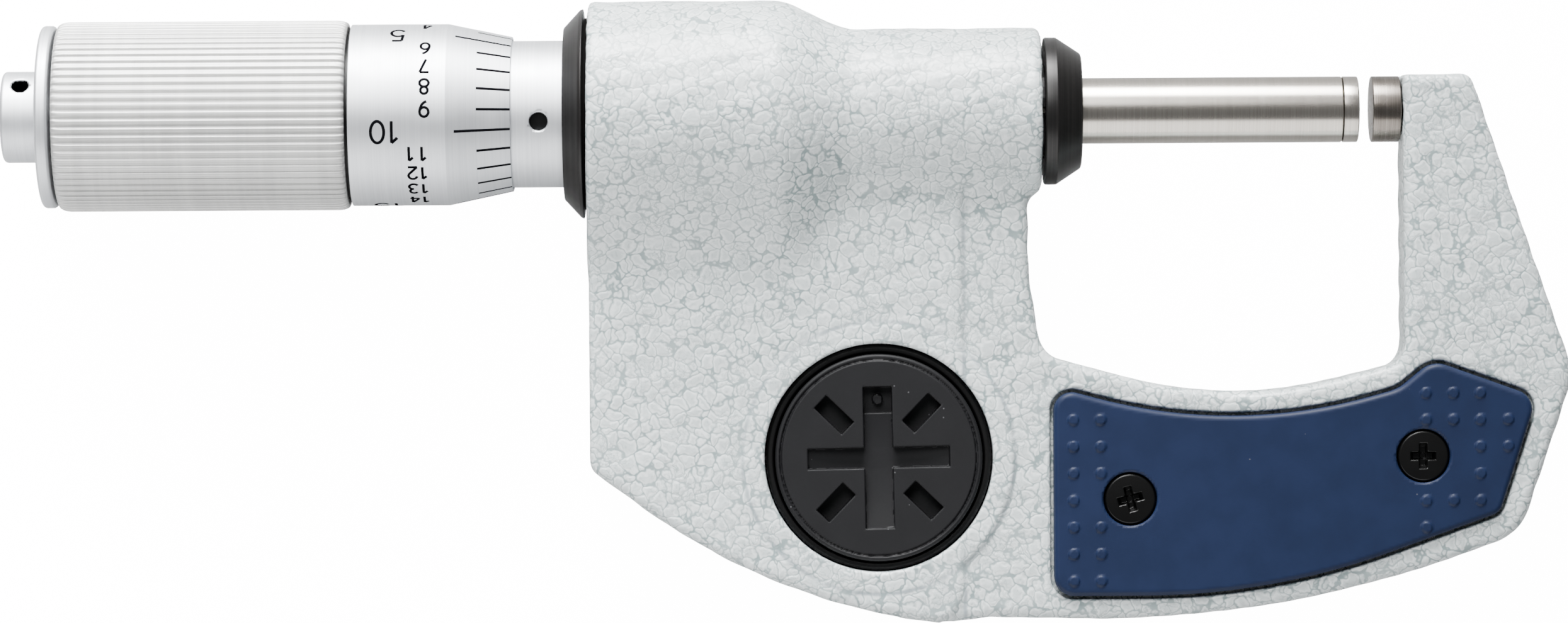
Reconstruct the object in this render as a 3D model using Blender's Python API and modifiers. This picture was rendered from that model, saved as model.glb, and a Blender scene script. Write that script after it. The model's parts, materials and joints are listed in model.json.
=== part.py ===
"""A digital outside micrometer of 25.4 mm range, lying on its display with its back up.

X runs along the spindle towards the anvil, Y up the frame and Z out of the back.
It is drawn from the middle of the anvil's measuring face, then moved so that the display cover
rests on Z = 0 with the origin under the spindle. Lengths are in metres.
"""
import math

import bmesh
import bpy
from mathutils import Matrix

MM = 0.001

# Fits
SEAT_GAP = 0.3 * MM
RUN_GAP = 0.15 * MM

# Spindle and anvil
SPINDLE_DIA = 6.35 * MM
TIP_LENGTH = 1.45 * MM
REST_OPENING = 1.31 * MM
TRAVEL = 25.4 * MM
THREAD_DIA = 6.9 * MM
JOURNAL_DIA = 5.2 * MM
STUD_DIA = 2.6 * MM
KEY_WIDTH = 0.9 * MM
KEY_LENGTH = 2.0 * MM
ANVIL_SHOWN = 2.85 * MM
ANVIL_SHANK_DIA = 4.4 * MM
ANVIL_SHANK_LENGTH = 6.0 * MM

# Spindle lock
LOCK_TO_ANVIL = 27.98 * MM
LOCK_LENGTH = 3.62 * MM
LOCK_BAND = 1.2 * MM
LOCK_DIA = 14.2 * MM
LOCK_FACE_DIA = 11.1 * MM
COLLET_DIA = 8.9 * MM
COLLET_LENGTH = 16.5 * MM

# Barrel of the frame
NOSE_DIA = 16.06 * MM
NOSE_LENGTH = 17.7 * MM
TAPER_LENGTH = 8.2 * MM
BARREL_DIA = 21.6 * MM
BARREL_LENGTH = 17.77 * MM
ENCODER_BORE_DIA = 18.8 * MM
ENCODER_BORE_DEPTH = 14.0 * MM
BARREL_BLEND = 5.0 * MM

# Body and bow of the frame
BODY_LENGTH = 36.1 * MM
BODY_DROP = 34.2 * MM
BODY_TOP = 6.4 * MM
BODY_BACK = 4.0 * MM
FRONT_SKIN = 0.2 * MM
BOW_THICKNESS = 7.2 * MM
BOW_EDGE = 1.0 * MM
LEG_TOP = 3.25 * MM
NOSE_LIP = 1.37 * MM
POCKET_DEPTH = 4.4 * MM
POCKET_WALL = 2.4 * MM

# Sleeves and collar
COLLAR_DIA = 20.3 * MM
COLLAR_FACE_DIA = 16.5 * MM
COLLAR_LENGTH = 1.9 * MM
SPIGOT_LENGTH = 1.3 * MM
SLEEVE_DIA = 14.16 * MM
SLEEVE_WALL = 0.53 * MM
SLEEVE_SHOWN = 4.93 * MM
SLEEVE_LENGTH = 34.8 * MM
SPANNER_HOLE_DIA = 1.75 * MM
NUT_LENGTH = 5.5 * MM
NUT_WALL = 1.0 * MM
SLEEVE_FLANGE = 1.8 * MM

# Encoder
DISC_THICKNESS = 1.0 * MM
HOLDER_LENGTH = 4.6 * MM
BUSH_DIA = 9.6 * MM
BUSH_SHOULDER = 1.3 * MM

# Thimble, ratchet grip and end cap
MOUTH_DIA = 14.9 * MM
THIMBLE_DIA = 17.5 * MM
CONE_LENGTH = 6.15 * MM
SCALE_LENGTH = 9.35 * MM
THIMBLE_DEPTH = 30.82 * MM
THIMBLE_WEB = 2.7 * MM
GRIP_DIA = 18.3 * MM
RATCHET_ROOM = 10.2 * MM
GRIP_WALL = 1.0 * MM
FLUTES = 72
FLUTE_DEPTH = 0.25 * MM
RATCHET_TEETH = 12
RATCHET_RISE = 0.6 * MM
RATCHET_DISC = 1.8 * MM
SPRING_TURNS = 4
SPRING_WIRE = 0.7 * MM
SPRING_DIA = 11.2 * MM
FLANGE_DIA = 17.6 * MM
FLANGE_LENGTH = 1.3 * MM
NUB_DIA = 8.8 * MM
NUB_LENGTH = 3.8 * MM
NUB_HOLE_DIA = 1.65 * MM

# Battery
CAP_TO_STEP = 8.23 * MM
CAP_BELOW_AXIS = 33.27 * MM
BOSS_DIA = 26.1 * MM
WELL_DIA = 21.9 * MM
CAP_DIA = 19.9 * MM
CAP_THICKNESS = 1.9 * MM
CAP_SLOT_LENGTH = 13.6 * MM
CAP_SLOT_WIDE = 2.73 * MM
CAP_SLOT_NARROW = 2.0 * MM
CAP_SLOT_DEPTH = 0.9 * MM
CAP_NOTCH_LENGTH = 3.66 * MM
CAP_NOTCH_WIDTH = 1.68 * MM
CAP_NOTCH_RADIUS = 5.94 * MM
SEAL_WIRE = 0.9 * MM
CELL_DIA = 11.6 * MM
CELL_HEIGHT = 5.4 * MM
CONTACT_THICKNESS = 0.25 * MM

# Grip plates
PLATE_THICKNESS = 1.8 * MM
PLATE_PROUD = 0.8 * MM
PLATE_EDGE = 0.45 * MM
HEAD_DIA = 4.85 * MM
HEAD_HEIGHT = 1.2 * MM
SCREW_DIA = 2.5 * MM
PLATE_BOSS_DIA = 4.6 * MM

# Display side
BEZEL_THICKNESS = 2.1 * MM
BEZEL_INSET = 0.8 * MM
WINDOW_BORDER = 1.5 * MM
WINDOW_THICKNESS = 1.2 * MM
LCD_HEIGHT = 14.0 * MM
LCD_MARGIN = 1.6 * MM
LCD_TO_BARREL = 2.7 * MM
BOARD_THICKNESS = 0.8 * MM
PAD_THICKNESS = 1.2 * MM
BUTTON_DIA = 4.6 * MM
BUTTON_PITCH = 7.6 * MM
BUTTON_TRAVEL = 0.6 * MM
BEZEL_SCREW_DIA = 1.5 * MM
BEZEL_HEAD_DIA = 2.6 * MM

STEPS = 24

# Places along the spindle, from the anvil leftwards
x_tip = -REST_OPENING
x_lock_face = -LOCK_TO_ANVIL
x_lock_back = x_lock_face - LOCK_LENGTH
x_nose = x_lock_back - SEAT_GAP
x_nose_start = x_nose - NOSE_LENGTH
x_barrel_end = x_nose_start - TAPER_LENGTH
x_body = x_barrel_end - BARREL_LENGTH
x_step = x_body + BODY_LENGTH
x_bore_floor = x_body + ENCODER_BORE_DEPTH
x_collar = x_body - SEAT_GAP
x_collar_face = x_collar - COLLAR_LENGTH
x_mouth = x_collar_face - SLEEVE_SHOWN
x_cone = x_mouth - CONE_LENGTH
x_shoulder = x_cone - SCALE_LENGTH
x_web = x_mouth - THIMBLE_DEPTH
x_web_back = x_web - THIMBLE_WEB
x_grip = x_shoulder - SEAT_GAP
x_grip_end = x_web_back - RATCHET_ROOM
x_flange = x_grip_end - SEAT_GAP
x_flange_back = x_flange - FLANGE_LENGTH
x_nub_end = x_flange_back - NUB_LENGTH
x_sleeve = x_collar + SPIGOT_LENGTH - SEAT_GAP
x_sleeve_end = x_sleeve - SLEEVE_LENGTH
x_well = x_step - CAP_TO_STEP
y_well = -CAP_BELOW_AXIS

spindle_r = SPINDLE_DIA / 2
thread_r = THREAD_DIA / 2
sleeve_r = SLEEVE_DIA / 2
opening_left = TRAVEL - REST_OPENING
nose_r, barrel_r = NOSE_DIA / 2, BARREL_DIA / 2
body_front = -barrel_r - FRONT_SKIN
pocket_floor = body_front + POCKET_DEPTH
pocket_top = -barrel_r - 1.8 * MM


def clear_scene():
    for ob in list(bpy.data.objects):
        bpy.data.objects.remove(ob, do_unlink=True)


clear_scene()
parts = bpy.data.collections.new("outside_micrometer")
tools = bpy.data.collections.new("cutters")
bpy.context.scene.collection.children.link(parts)
bpy.context.scene.collection.children.link(tools)


def finish(name, colour, metallic, roughness):
    mat = bpy.data.materials.new(name)
    mat.use_nodes = True
    shader = mat.node_tree.nodes["Principled BSDF"]
    shader.inputs["Base Color"].default_value = (*colour, 1.0)
    shader.inputs["Metallic"].default_value = metallic
    shader.inputs["Roughness"].default_value = roughness
    return mat


FINISHES = {
    "enamel": ((0.62, 0.66, 0.65), 0.0, 0.3),
    "ground_steel": ((0.60, 0.58, 0.55), 1.0, 0.25),
    "carbide": ((0.32, 0.30, 0.29), 1.0, 0.35),
    "black_steel": ((0.03, 0.028, 0.028), 0.6, 0.4),
    "satin_chrome": ((0.66, 0.66, 0.65), 1.0, 0.35),
    "brass": ((0.60, 0.45, 0.20), 1.0, 0.35),
    "navy_plastic": ((0.026, 0.048, 0.127), 0.0, 0.4),
    "black_plastic": ((0.012, 0.012, 0.013), 0.0, 0.35),
    "dark_plastic": ((0.030, 0.031, 0.034), 0.0, 0.45),
    "grey_plastic": ((0.32, 0.33, 0.34), 0.0, 0.5),
    "board_green": ((0.02, 0.14, 0.06), 0.0, 0.5),
    "lcd_grey": ((0.36, 0.40, 0.35), 0.0, 0.3),
    "clear_window": ((0.85, 0.88, 0.88), 0.0, 0.05),
    "rubber": ((0.02, 0.02, 0.02), 0.0, 0.8),
    "nickel": ((0.62, 0.60, 0.56), 1.0, 0.3),
}


def place(ob, kind, collection=parts):
    """Link a new object and give it its own material."""
    collection.objects.link(ob)
    if kind:
        ob.data.materials.append(finish(ob.name + "_" + kind, *FINISHES[kind]))
    return ob


def lathe(name, profile, kind, axis="X", at=(0, 0, 0), steps=STEPS, collection=parts):
    """Turn a profile of (along, radius) pairs about the axis; a profile off the axis is a closed ring."""
    area = 0.0
    for (a, r), (b, s) in zip(profile, profile[1:] + profile[:1]):
        area += a * s - b * r
    if area < 0:
        profile = profile[::-1]
    if axis == "X":
        verts = [(a, 0.0, r) for a, r in profile]
    else:
        verts = [(r, 0.0, a) for a, r in profile]
    edges = [(i, i + 1) for i in range(len(verts) - 1)]
    if min(r for a, r in profile) > 0:
        edges.append((len(verts) - 1, 0))
    mesh = bpy.data.meshes.new(name)
    mesh.from_pydata(verts, edges, [])
    ob = place(bpy.data.objects.new(name, mesh), kind, collection)
    ob.location = at
    turn = ob.modifiers.new("turn", "SCREW")
    turn.axis = axis
    turn.steps = steps
    turn.render_steps = steps
    turn.use_merge_vertices = True
    turn.merge_threshold = 0.000001
    turn.use_smooth_shade = False
    return ob


def ring(name, x0, x1, inner, outer, kind, **more):
    """A plain tube along the spindle, or along Z with axis="Z"."""
    return lathe(name, [(x0, outer), (x1, outer), (x1, inner), (x0, inner)], kind, **more)


def rod(name, x0, x1, radius, kind, **more):
    return lathe(name, [(x0, 0.0), (x0, radius), (x1, radius), (x1, 0.0)], kind, **more)


def rounded(corners):
    """A closed outline from corners (x, y, radius), each radius drawn as a short-sided arc."""
    points = []
    for i, (x, y, radius) in enumerate(corners):
        if radius == 0:
            points.append((x, y))
            continue
        px, py, _ = corners[i - 1]
        nx, ny, _ = corners[(i + 1) % len(corners)]
        ua, ub = math.atan2(py - y, px - x), math.atan2(ny - y, nx - x)
        inside = (ub - ua + math.pi) % (2 * math.pi) - math.pi
        half = abs(inside) / 2
        reach = radius / math.tan(half)
        mid = ua + inside / 2
        cx = x + radius / math.sin(half) * math.cos(mid)
        cy = y + radius / math.sin(half) * math.sin(mid)
        start = math.atan2(y + reach * math.sin(ua) - cy, x + reach * math.cos(ua) - cx)
        end = math.atan2(y + reach * math.sin(ub) - cy, x + reach * math.cos(ub) - cx)
        sweep = (end - start + math.pi) % (2 * math.pi) - math.pi
        longest = min(0.26, 2 * math.acos(1 - 0.08 * MM / max(radius, 1.0 * MM)))
        count = max(2, math.ceil(abs(sweep) / longest))
        for k in range(count + 1):
            a = start + sweep * k / count
            points.append((cx + radius * math.cos(a), cy + radius * math.sin(a)))
    return points


def grown(corners, by):
    """The same outline moved outwards by a distance, for a recess round a piece or a piece inside a rim."""
    result = []
    area = 0.0
    for (x, y, _), (u, v, _) in zip(corners, corners[1:] + corners[:1]):
        area += x * v - u * y
    side = 1 if area > 0 else -1
    for i, (x, y, radius) in enumerate(corners):
        px, py, _ = corners[i - 1]
        nx, ny, _ = corners[(i + 1) % len(corners)]
        ax, ay = x - px, y - py
        bx, by_ = nx - x, ny - y
        la, lb = math.hypot(ax, ay), math.hypot(bx, by_)
        na = (side * ay / la, -side * ax / la)
        nb = (side * by_ / lb, -side * bx / lb)
        scale = by / (1 + na[0] * nb[0] + na[1] * nb[1])
        turn = side * (ax * by_ - ay * bx)
        new_radius = radius
        if radius > 0:
            new_radius = max(radius + (by if turn > 0 else -by), 0.05 * MM)
        result.append((x + (na[0] + nb[0]) * scale, y + (na[1] + nb[1]) * scale, new_radius))
    return result


def circle(cx, cy, radius, count=STEPS):
    points = []
    for k in range(count):
        a = 2 * math.pi * k / count
        points.append((cx + radius * math.cos(a), cy + radius * math.sin(a)))
    return points


def prism(name, outlines, z0, z1, kind, edge=0.0, turn=None, collection=parts):
    """Fill flat outlines (the later ones are holes) and draw them out from z0 to z1, with rounded edges."""
    curve = bpy.data.curves.new(name + "_curve", "CURVE")
    curve.dimensions = "2D"
    curve.fill_mode = "BOTH"
    curve.extrude = (z1 - z0) / 2 - edge
    curve.bevel_depth = edge
    curve.bevel_resolution = 0
    curve.offset = -edge
    for outline in outlines:
        spline = curve.splines.new("POLY")
        spline.points.add(len(outline) - 1)
        spline.use_cyclic_u = True
        for point, (x, y) in zip(spline.points, outline):
            point.co = (x, y, 0.0, 1.0)
    drawn = bpy.data.objects.new(name + "_curve", curve)
    bpy.context.scene.collection.objects.link(drawn)
    bpy.context.view_layer.update()
    graph = bpy.context.evaluated_depsgraph_get()
    mesh = bpy.data.meshes.new_from_object(drawn.evaluated_get(graph))
    bpy.data.objects.remove(drawn, do_unlink=True)
    mesh.transform(Matrix.Translation((0, 0, (z0 + z1) / 2)))
    if turn:
        mesh.transform(turn)
    work = bmesh.new()
    work.from_mesh(mesh)
    bmesh.ops.remove_doubles(work, verts=work.verts, dist=1e-7)
    bmesh.ops.recalc_face_normals(work, faces=work.faces)
    work.to_mesh(mesh)
    work.free()
    mesh.materials.clear()
    return place(bpy.data.objects.new(name, mesh), kind, collection)


def box(name, x, y, z, kind, collection=parts):
    """A block between pairs of x, y and z."""
    return prism(name, [[(x[0], y[0]), (x[1], y[0]), (x[1], y[1]), (x[0], y[1])]], z[0], z[1], kind,
                 collection=collection)


FLAT_CUTS = ("frame", "battery_cap", "bezel", "rear_plate", "front_plate", "plate_screw_1", "plate_screw_2")


def combine(ob, tool, operation="DIFFERENCE"):
    """Join or cut with a tool; pieces with many cuts in one flat face take the manifold solver."""
    tool.hide_render = True
    tool.display_type = "WIRE"
    step = ob.modifiers.new(tool.name, "BOOLEAN")
    step.operation = operation
    step.solver = "MANIFOLD" if ob.name in FLAT_CUTS else "EXACT"
    step.object = tool
    return ob


ALONG_X = Matrix(((0, 0, 1, 0), (1, 0, 0, 0), (0, 1, 0, 0), (0, 0, 0, 1)))

# Frame: a flat bow, a deeper body with the battery boss, and the barrel the spindle runs in
bow_half = BOW_THICKNESS / 2
y_bend = -BODY_DROP - 0.365 * BODY_LENGTH
y_foot = y_bend - 0.0587 * BODY_LENGTH
x_wall = x_nose - NOSE_LIP
leg_x = ANVIL_SHOWN
bow_corners = [
    (9.34 * MM, LEG_TOP, 1.2 * MM),
    (19.12 * MM, -25.6 * MM, 5.7 * MM),
    (13.87 * MM, -40.95 * MM, 5.0 * MM),
    (-9.24 * MM, -49.4 * MM, 106.0 * MM),
    (x_step - 6.0 * MM, y_foot + 1.0 * MM, 0),
    (x_step - 6.0 * MM, -5.0 * MM, 0),
    (x_wall - 2.0 * MM, -3.0 * MM, 0),
    (x_wall, -3.0 * MM, 0),
    (x_wall, -15.5 * MM, 25.0 * MM),
    (x_wall + 1.25 * MM, -23.5 * MM, 3.0 * MM),
    (-13.6 * MM, -28.47 * MM, 41.0 * MM),
    (leg_x, -24.39 * MM, 2.2 * MM),
    (leg_x, LEG_TOP, 0.3 * MM),
]
body_corners = [
    (x_body, BODY_TOP, 0.8 * MM),
    (x_body, -BODY_DROP, 2.0 * MM),
    (x_body + 0.507 * BODY_LENGTH, y_bend, 1.66 * BODY_LENGTH),
    (x_step, y_foot, 1.2 * MM),
    (x_step, BODY_TOP, 0.8 * MM),
]
frame = prism("frame", [rounded(body_corners)], body_front, BODY_BACK, "enamel", edge=0.7 * MM)
boss = prism("boss", [circle(x_well, y_well, BOSS_DIA / 2)], body_front + 2.0 * MM, BODY_BACK - 0.02 * MM,
             None, edge=0.4 * MM, collection=tools)
bow = prism("bow", [rounded(bow_corners)], -bow_half, bow_half, None, edge=BOW_EDGE, collection=tools)
swell = []
for k in range(1, 6):
    share = k / 6
    ease = share * share * (3 - 2 * share)
    swell.append((x_nose_start - TAPER_LENGTH * share, nose_r + (barrel_r - nose_r) * ease))
barrel_profile = [(x_nose, 0.0), (x_nose, nose_r - 0.5 * MM), (x_nose - 0.5 * MM, nose_r),
                  (x_nose_start, nose_r)] + swell
barrel_profile += [(x_barrel_end, barrel_r), (x_body + 0.2 * MM, barrel_r),
                   (x_body - 0.01 * MM, barrel_r - 0.2 * MM), (x_body - 0.01 * MM, 0.0)]
barrel = lathe("barrel", barrel_profile, None, steps=36, collection=tools)
blend_z = BODY_BACK + BARREL_BLEND
blend_y = -math.sqrt((barrel_r + BARREL_BLEND) ** 2 - blend_z ** 2)
first = math.atan2(-blend_z, -blend_y)
section = [(blend_y, BODY_BACK - 1.0 * MM), (-5.0 * MM, BODY_BACK - 1.0 * MM)]
for k in range(6):
    a = first + (-math.pi / 2 - first) * k / 5
    section.append((blend_y + BARREL_BLEND * math.cos(a), blend_z + BARREL_BLEND * math.sin(a)))
blend = prism("blend", [section], x_body + 0.5 * MM, x_barrel_end, None, turn=ALONG_X, collection=tools)
for piece in (boss, bow, barrel, blend):
    combine(frame, piece, "UNION")

collet_bore_r = COLLET_DIA / 2 + RUN_GAP
cell_r = CELL_DIA / 2
cap_top = BODY_BACK - 0.1 * MM
cap_under = cap_top - CAP_THICKNESS
seat_top = cap_under - SEAL_WIRE - 0.2 * MM
cell_top = cap_under - 0.9 * MM
cell_floor = cell_top - CELL_HEIGHT
well_floor = cell_floor - 0.6 * MM
socket_bottom = seat_top - 0.7 * MM
cell_well_r = cell_r + 0.7 * MM

plate_back = bow_half + PLATE_PROUD
plate_front = plate_back - PLATE_THICKNESS
plate_seat = plate_front - SEAT_GAP
plate_corners = [
    (-30.95 * MM, -26.55 * MM, 1.8 * MM),
    (-13.6 * MM, -31.3 * MM, 50.0 * MM),
    (2.15 * MM, -26.95 * MM, 4.0 * MM),
    (5.45 * MM, -24.25 * MM, 2.4 * MM),
    (15.45 * MM, -27.85 * MM, 1.9 * MM),
    (11.85 * MM, -38.85 * MM, 1.5 * MM),
    (-9.95 * MM, -46.66 * MM, 70.0 * MM),
    (-30.95 * MM, -46.66 * MM, 1.9 * MM),
]
plate_screws = ((-23.64 * MM, -37.36 * MM), (4.46 * MM, -33.4 * MM))
plate_boss_r = PLATE_BOSS_DIA / 2

bezel_back = body_front - SEAT_GAP
bezel_front = bezel_back - BEZEL_THICKNESS
x_mid = (x_body + x_step) / 2
board_top = pocket_floor - SEAT_GAP
board_under = board_top - BOARD_THICKNESS
lcd_front = body_front
lcd_y = pocket_top - LCD_TO_BARREL + 1.8 * MM - LCD_HEIGHT / 2
button_y = -33.0 * MM
bezel_screws = (
    (x_body + 3.0 * MM, 3.6 * MM),
    (x_step - 3.0 * MM, 3.6 * MM),
    (x_body + 3.7 * MM, 0.6 * MM - BODY_DROP),
    (x_step - 3.4 * MM, y_foot + 3.4 * MM),
)
x_pocket, x_pocket_end = x_body + POCKET_WALL, x_step - POCKET_WALL
pocket_corners = [
    (x_pocket, pocket_top, 1.5 * MM),
    (x_pocket, 3.6 * MM - BODY_DROP, 1.5 * MM),
    (x_body + 0.554 * BODY_LENGTH, y_bend + 5.5 * MM, 1.5 * MM),
    (x_pocket_end, y_foot + 5.1 * MM, 1.5 * MM),
    (x_pocket_end, pocket_top, 1.5 * MM),
]

cuts = [
    rod("encoder_bore", x_body - 1.0 * MM, x_bore_floor, ENCODER_BORE_DIA / 2, None, collection=tools),
    rod("collet_bore", x_bore_floor - 1.0 * MM, x_nose + 1.0 * MM, collet_bore_r, None, collection=tools),
    rod("anvil_bore", ANVIL_SHOWN - 1.0 * MM, ANVIL_SHOWN + ANVIL_SHANK_LENGTH + SEAT_GAP,
        ANVIL_SHANK_DIA / 2 + RUN_GAP, None, collection=tools),
    rod("well", socket_bottom - SEAT_GAP, BODY_BACK + 1.0 * MM, WELL_DIA / 2, None, axis="Z",
        at=(x_well, y_well, 0), collection=tools),
    rod("cell_well", well_floor, BODY_BACK, cell_well_r, None, axis="Z", at=(x_well, y_well, 0), collection=tools),
    prism("rear_recess", [rounded(grown(plate_corners, SEAT_GAP))], plate_seat, plate_back + 1.0 * MM, None,
          collection=tools),
    prism("front_recess", [rounded(grown(plate_corners, SEAT_GAP))], -plate_back - 1.0 * MM, -plate_seat, None,
          collection=tools),
    prism("board_pocket", [rounded(pocket_corners)], body_front - 1.0 * MM, pocket_floor, None, collection=tools),
]
for i, (x, y) in enumerate(plate_screws):
    cuts.append(rod("boss_hole_%d" % (i + 1), -bow_half, bow_half, plate_boss_r + RUN_GAP, None, axis="Z",
                    at=(x, y, 0), steps=24, collection=tools))
for i, (x, y) in enumerate(bezel_screws):
    cuts.append(rod("bezel_hole_%d" % (i + 1), body_front - 1.0 * MM, body_front + 1.6 * MM,
                    BEZEL_SCREW_DIA / 2 + RUN_GAP, None, axis="Z", at=(x, y, 0), steps=16, collection=tools))
for cut in cuts:
    combine(frame, cut)

# Anvil, and the lock: a split collet in the nose and the ring that closes it
shank_r = ANVIL_SHANK_DIA / 2
lathe("anvil", [(0, 0), (0, spindle_r), (ANVIL_SHOWN - RUN_GAP, spindle_r), (ANVIL_SHOWN - RUN_GAP, shank_r),
                (ANVIL_SHOWN + ANVIL_SHANK_LENGTH, shank_r), (ANVIL_SHOWN + ANVIL_SHANK_LENGTH, 0)], "ground_steel")
guide_r = spindle_r + RUN_GAP
x_collet = x_lock_face - 1.4 * MM
collet = ring("lock_collet", x_collet - COLLET_LENGTH, x_collet, guide_r, COLLET_DIA / 2, "brass")
for i, (y, z) in enumerate(((COLLET_DIA, 0.3 * MM), (0.3 * MM, COLLET_DIA))):
    combine(collet, box("collet_slit_%d" % (i + 1), (x_collet - 7.0 * MM, x_collet + 1.0 * MM), (-y, y), (-z, z),
                        None, collection=tools))
ring_bore_r = COLLET_DIA / 2 + RUN_GAP
lathe("lock_ring", [
    (x_lock_back, LOCK_DIA / 2 - 0.2 * MM), (x_lock_back + 0.2 * MM, LOCK_DIA / 2),
    (x_lock_back + LOCK_BAND, LOCK_DIA / 2), (x_lock_face - 0.3 * MM, LOCK_FACE_DIA / 2),
    (x_lock_face, LOCK_FACE_DIA / 2 - 0.4 * MM), (x_lock_face, guide_r),
    (x_collet + SEAT_GAP, guide_r), (x_collet + SEAT_GAP, ring_bore_r), (x_lock_back, ring_bore_r),
], "black_steel")

# Collar, the threaded inner sleeve with its taper nut, and the plain outer sleeve
sleeve_bore_r = sleeve_r - SLEEVE_WALL
tube_r = sleeve_bore_r - RUN_GAP
spigot_r = ENCODER_BORE_DIA / 2 - RUN_GAP
x_spigot = x_collar + SPIGOT_LENGTH
lathe("sleeve_collar", [
    (x_collar_face, COLLAR_FACE_DIA / 2), (x_collar, COLLAR_DIA / 2), (x_collar, spigot_r),
    (x_spigot, spigot_r), (x_spigot, sleeve_r + RUN_GAP), (x_collar_face, sleeve_r + RUN_GAP),
], "black_steel")
x_inner_flange = x_spigot + SEAT_GAP
x_inner = x_inner_flange + SLEEVE_FLANGE
x_nut = x_sleeve_end + NUT_LENGTH
nut_bore_r = tube_r - NUT_WALL
lathe("inner_sleeve", [
    (x_sleeve_end, nut_bore_r - RUN_GAP), (x_nut + SEAT_GAP, nut_bore_r - RUN_GAP), (x_nut + SEAT_GAP, tube_r),
    (x_inner_flange, tube_r), (x_inner_flange, spigot_r), (x_inner, spigot_r),
    (x_inner, thread_r + RUN_GAP), (x_sleeve_end, thread_r + RUN_GAP),
], "ground_steel")
ring("taper_nut", x_sleeve_end + 0.4 * MM, x_nut, nut_bore_r, tube_r, "brass")
sleeve = ring("sleeve", x_sleeve_end, x_sleeve, sleeve_bore_r, sleeve_r, "satin_chrome")
hole_x = x_collar_face - 0.46 * SLEEVE_SHOWN
combine(sleeve, rod("spanner_hole", 0, sleeve_r + 1.0 * MM, SPANNER_HOLE_DIA / 2, None, axis="Z",
                    at=(hole_x, -0.9 * MM, 0), steps=16, collection=tools))

# Encoder: the rotor turns with the spindle but stays in the barrel; the stator is fixed
bush_r = BUSH_DIA / 2
disc_bore_r = bush_r + RUN_GAP
shoulder_r = bush_r + 1.3 * MM
x_bush = x_inner + SEAT_GAP
x_shoulder_end = x_bush + BUSH_SHOULDER
x_disc = x_shoulder_end + 0.2 * MM
x_stator = x_disc + DISC_THICKNESS + SEAT_GAP
x_holder = x_stator + DISC_THICKNESS + 0.2 * MM
x_holder_end = min(x_holder + HOLDER_LENGTH, x_bore_floor - SEAT_GAP)
bush = lathe("rotor_bush", [
    (x_bush, shoulder_r), (x_shoulder_end, shoulder_r), (x_shoulder_end, bush_r), (x_holder_end, bush_r),
    (x_holder_end, guide_r), (x_bush, guide_r),
], "brass")
ring("rotor_disc", x_disc, x_disc + DISC_THICKNESS, disc_bore_r, ENCODER_BORE_DIA / 2 - 0.5 * MM, "board_green")
ring("stator", x_stator, x_stator + DISC_THICKNESS, bush_r + 0.6 * MM, spigot_r, "board_green")
ring("stator_holder", x_holder, x_holder_end, bush_r + 0.6 * MM, spigot_r, "black_plastic")
x_key = x_holder_end - KEY_LENGTH - 0.6 * MM
key_half = KEY_WIDTH / 2
key_floor = spindle_r - 0.6 * MM
combine(bush, box("key_slot", (x_key - RUN_GAP, x_key + KEY_LENGTH + RUN_GAP),
                  (-key_half - RUN_GAP, key_half + RUN_GAP), (0, bush_r + 1.0 * MM), None, collection=tools))
box("rotor_key", (x_key, x_key + KEY_LENGTH), (-key_half, key_half), (key_floor, bush_r - 0.1 * MM), "ground_steel")

# Spindle with its keyway and tip; the thread is drawn at its outside diameter
x_rod = x_tip - TIP_LENGTH - 0.02 * MM
x_thread = x_inner_flange - 1.5 * MM
x_journal = x_web + 0.9 * MM
journal_r, stud_r = JOURNAL_DIA / 2, STUD_DIA / 2
x_spindle_end = x_web_back - RATCHET_DISC
stud_bore_r = stud_r + RUN_GAP
x_stud = x_web
spindle = lathe("spindle", [
    (x_rod, 0), (x_rod, spindle_r), (x_thread, spindle_r), (x_thread, thread_r), (x_journal, thread_r),
    (x_journal, journal_r), (x_spindle_end, journal_r), (x_spindle_end, stud_bore_r),
    (x_stud + SEAT_GAP, stud_bore_r), (x_stud + SEAT_GAP, 0),
], "ground_steel")
combine(spindle, box("keyway", (x_key - REST_OPENING - 0.4 * MM, x_key + KEY_LENGTH + opening_left + 0.4 * MM),
                     (-key_half - 0.2 * MM, key_half + 0.2 * MM), (key_floor - SEAT_GAP, spindle_r + 1.0 * MM),
                     None, collection=tools))
rod("spindle_tip", x_tip - TIP_LENGTH, x_tip, spindle_r, "carbide")

# Thimble, the ratchet inside the grip, and the end cap
thimble_bore_r = sleeve_r + RUN_GAP
tail_r = GRIP_DIA / 2 - GRIP_WALL - RUN_GAP
lathe("thimble", [
    (x_mouth, MOUTH_DIA / 2), (x_cone, THIMBLE_DIA / 2), (x_shoulder, THIMBLE_DIA / 2), (x_shoulder, tail_r),
    (x_web_back, tail_r), (x_web_back, journal_r + RUN_GAP), (x_web, journal_r + RUN_GAP),
    (x_web, thimble_bore_r), (x_mouth, thimble_bore_r),
], "satin_chrome")
flutes = []
for k in range(2 * FLUTES):
    a = math.pi * k / FLUTES
    r = GRIP_DIA / 2 - FLUTE_DEPTH * (k % 2)
    flutes.append((r * math.cos(a), r * math.sin(a)))
grip_bore_r = GRIP_DIA / 2 - GRIP_WALL
prism("grip", [flutes, circle(0, 0, grip_bore_r)], x_grip_end, x_grip, "satin_chrome", turn=ALONG_X)


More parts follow.
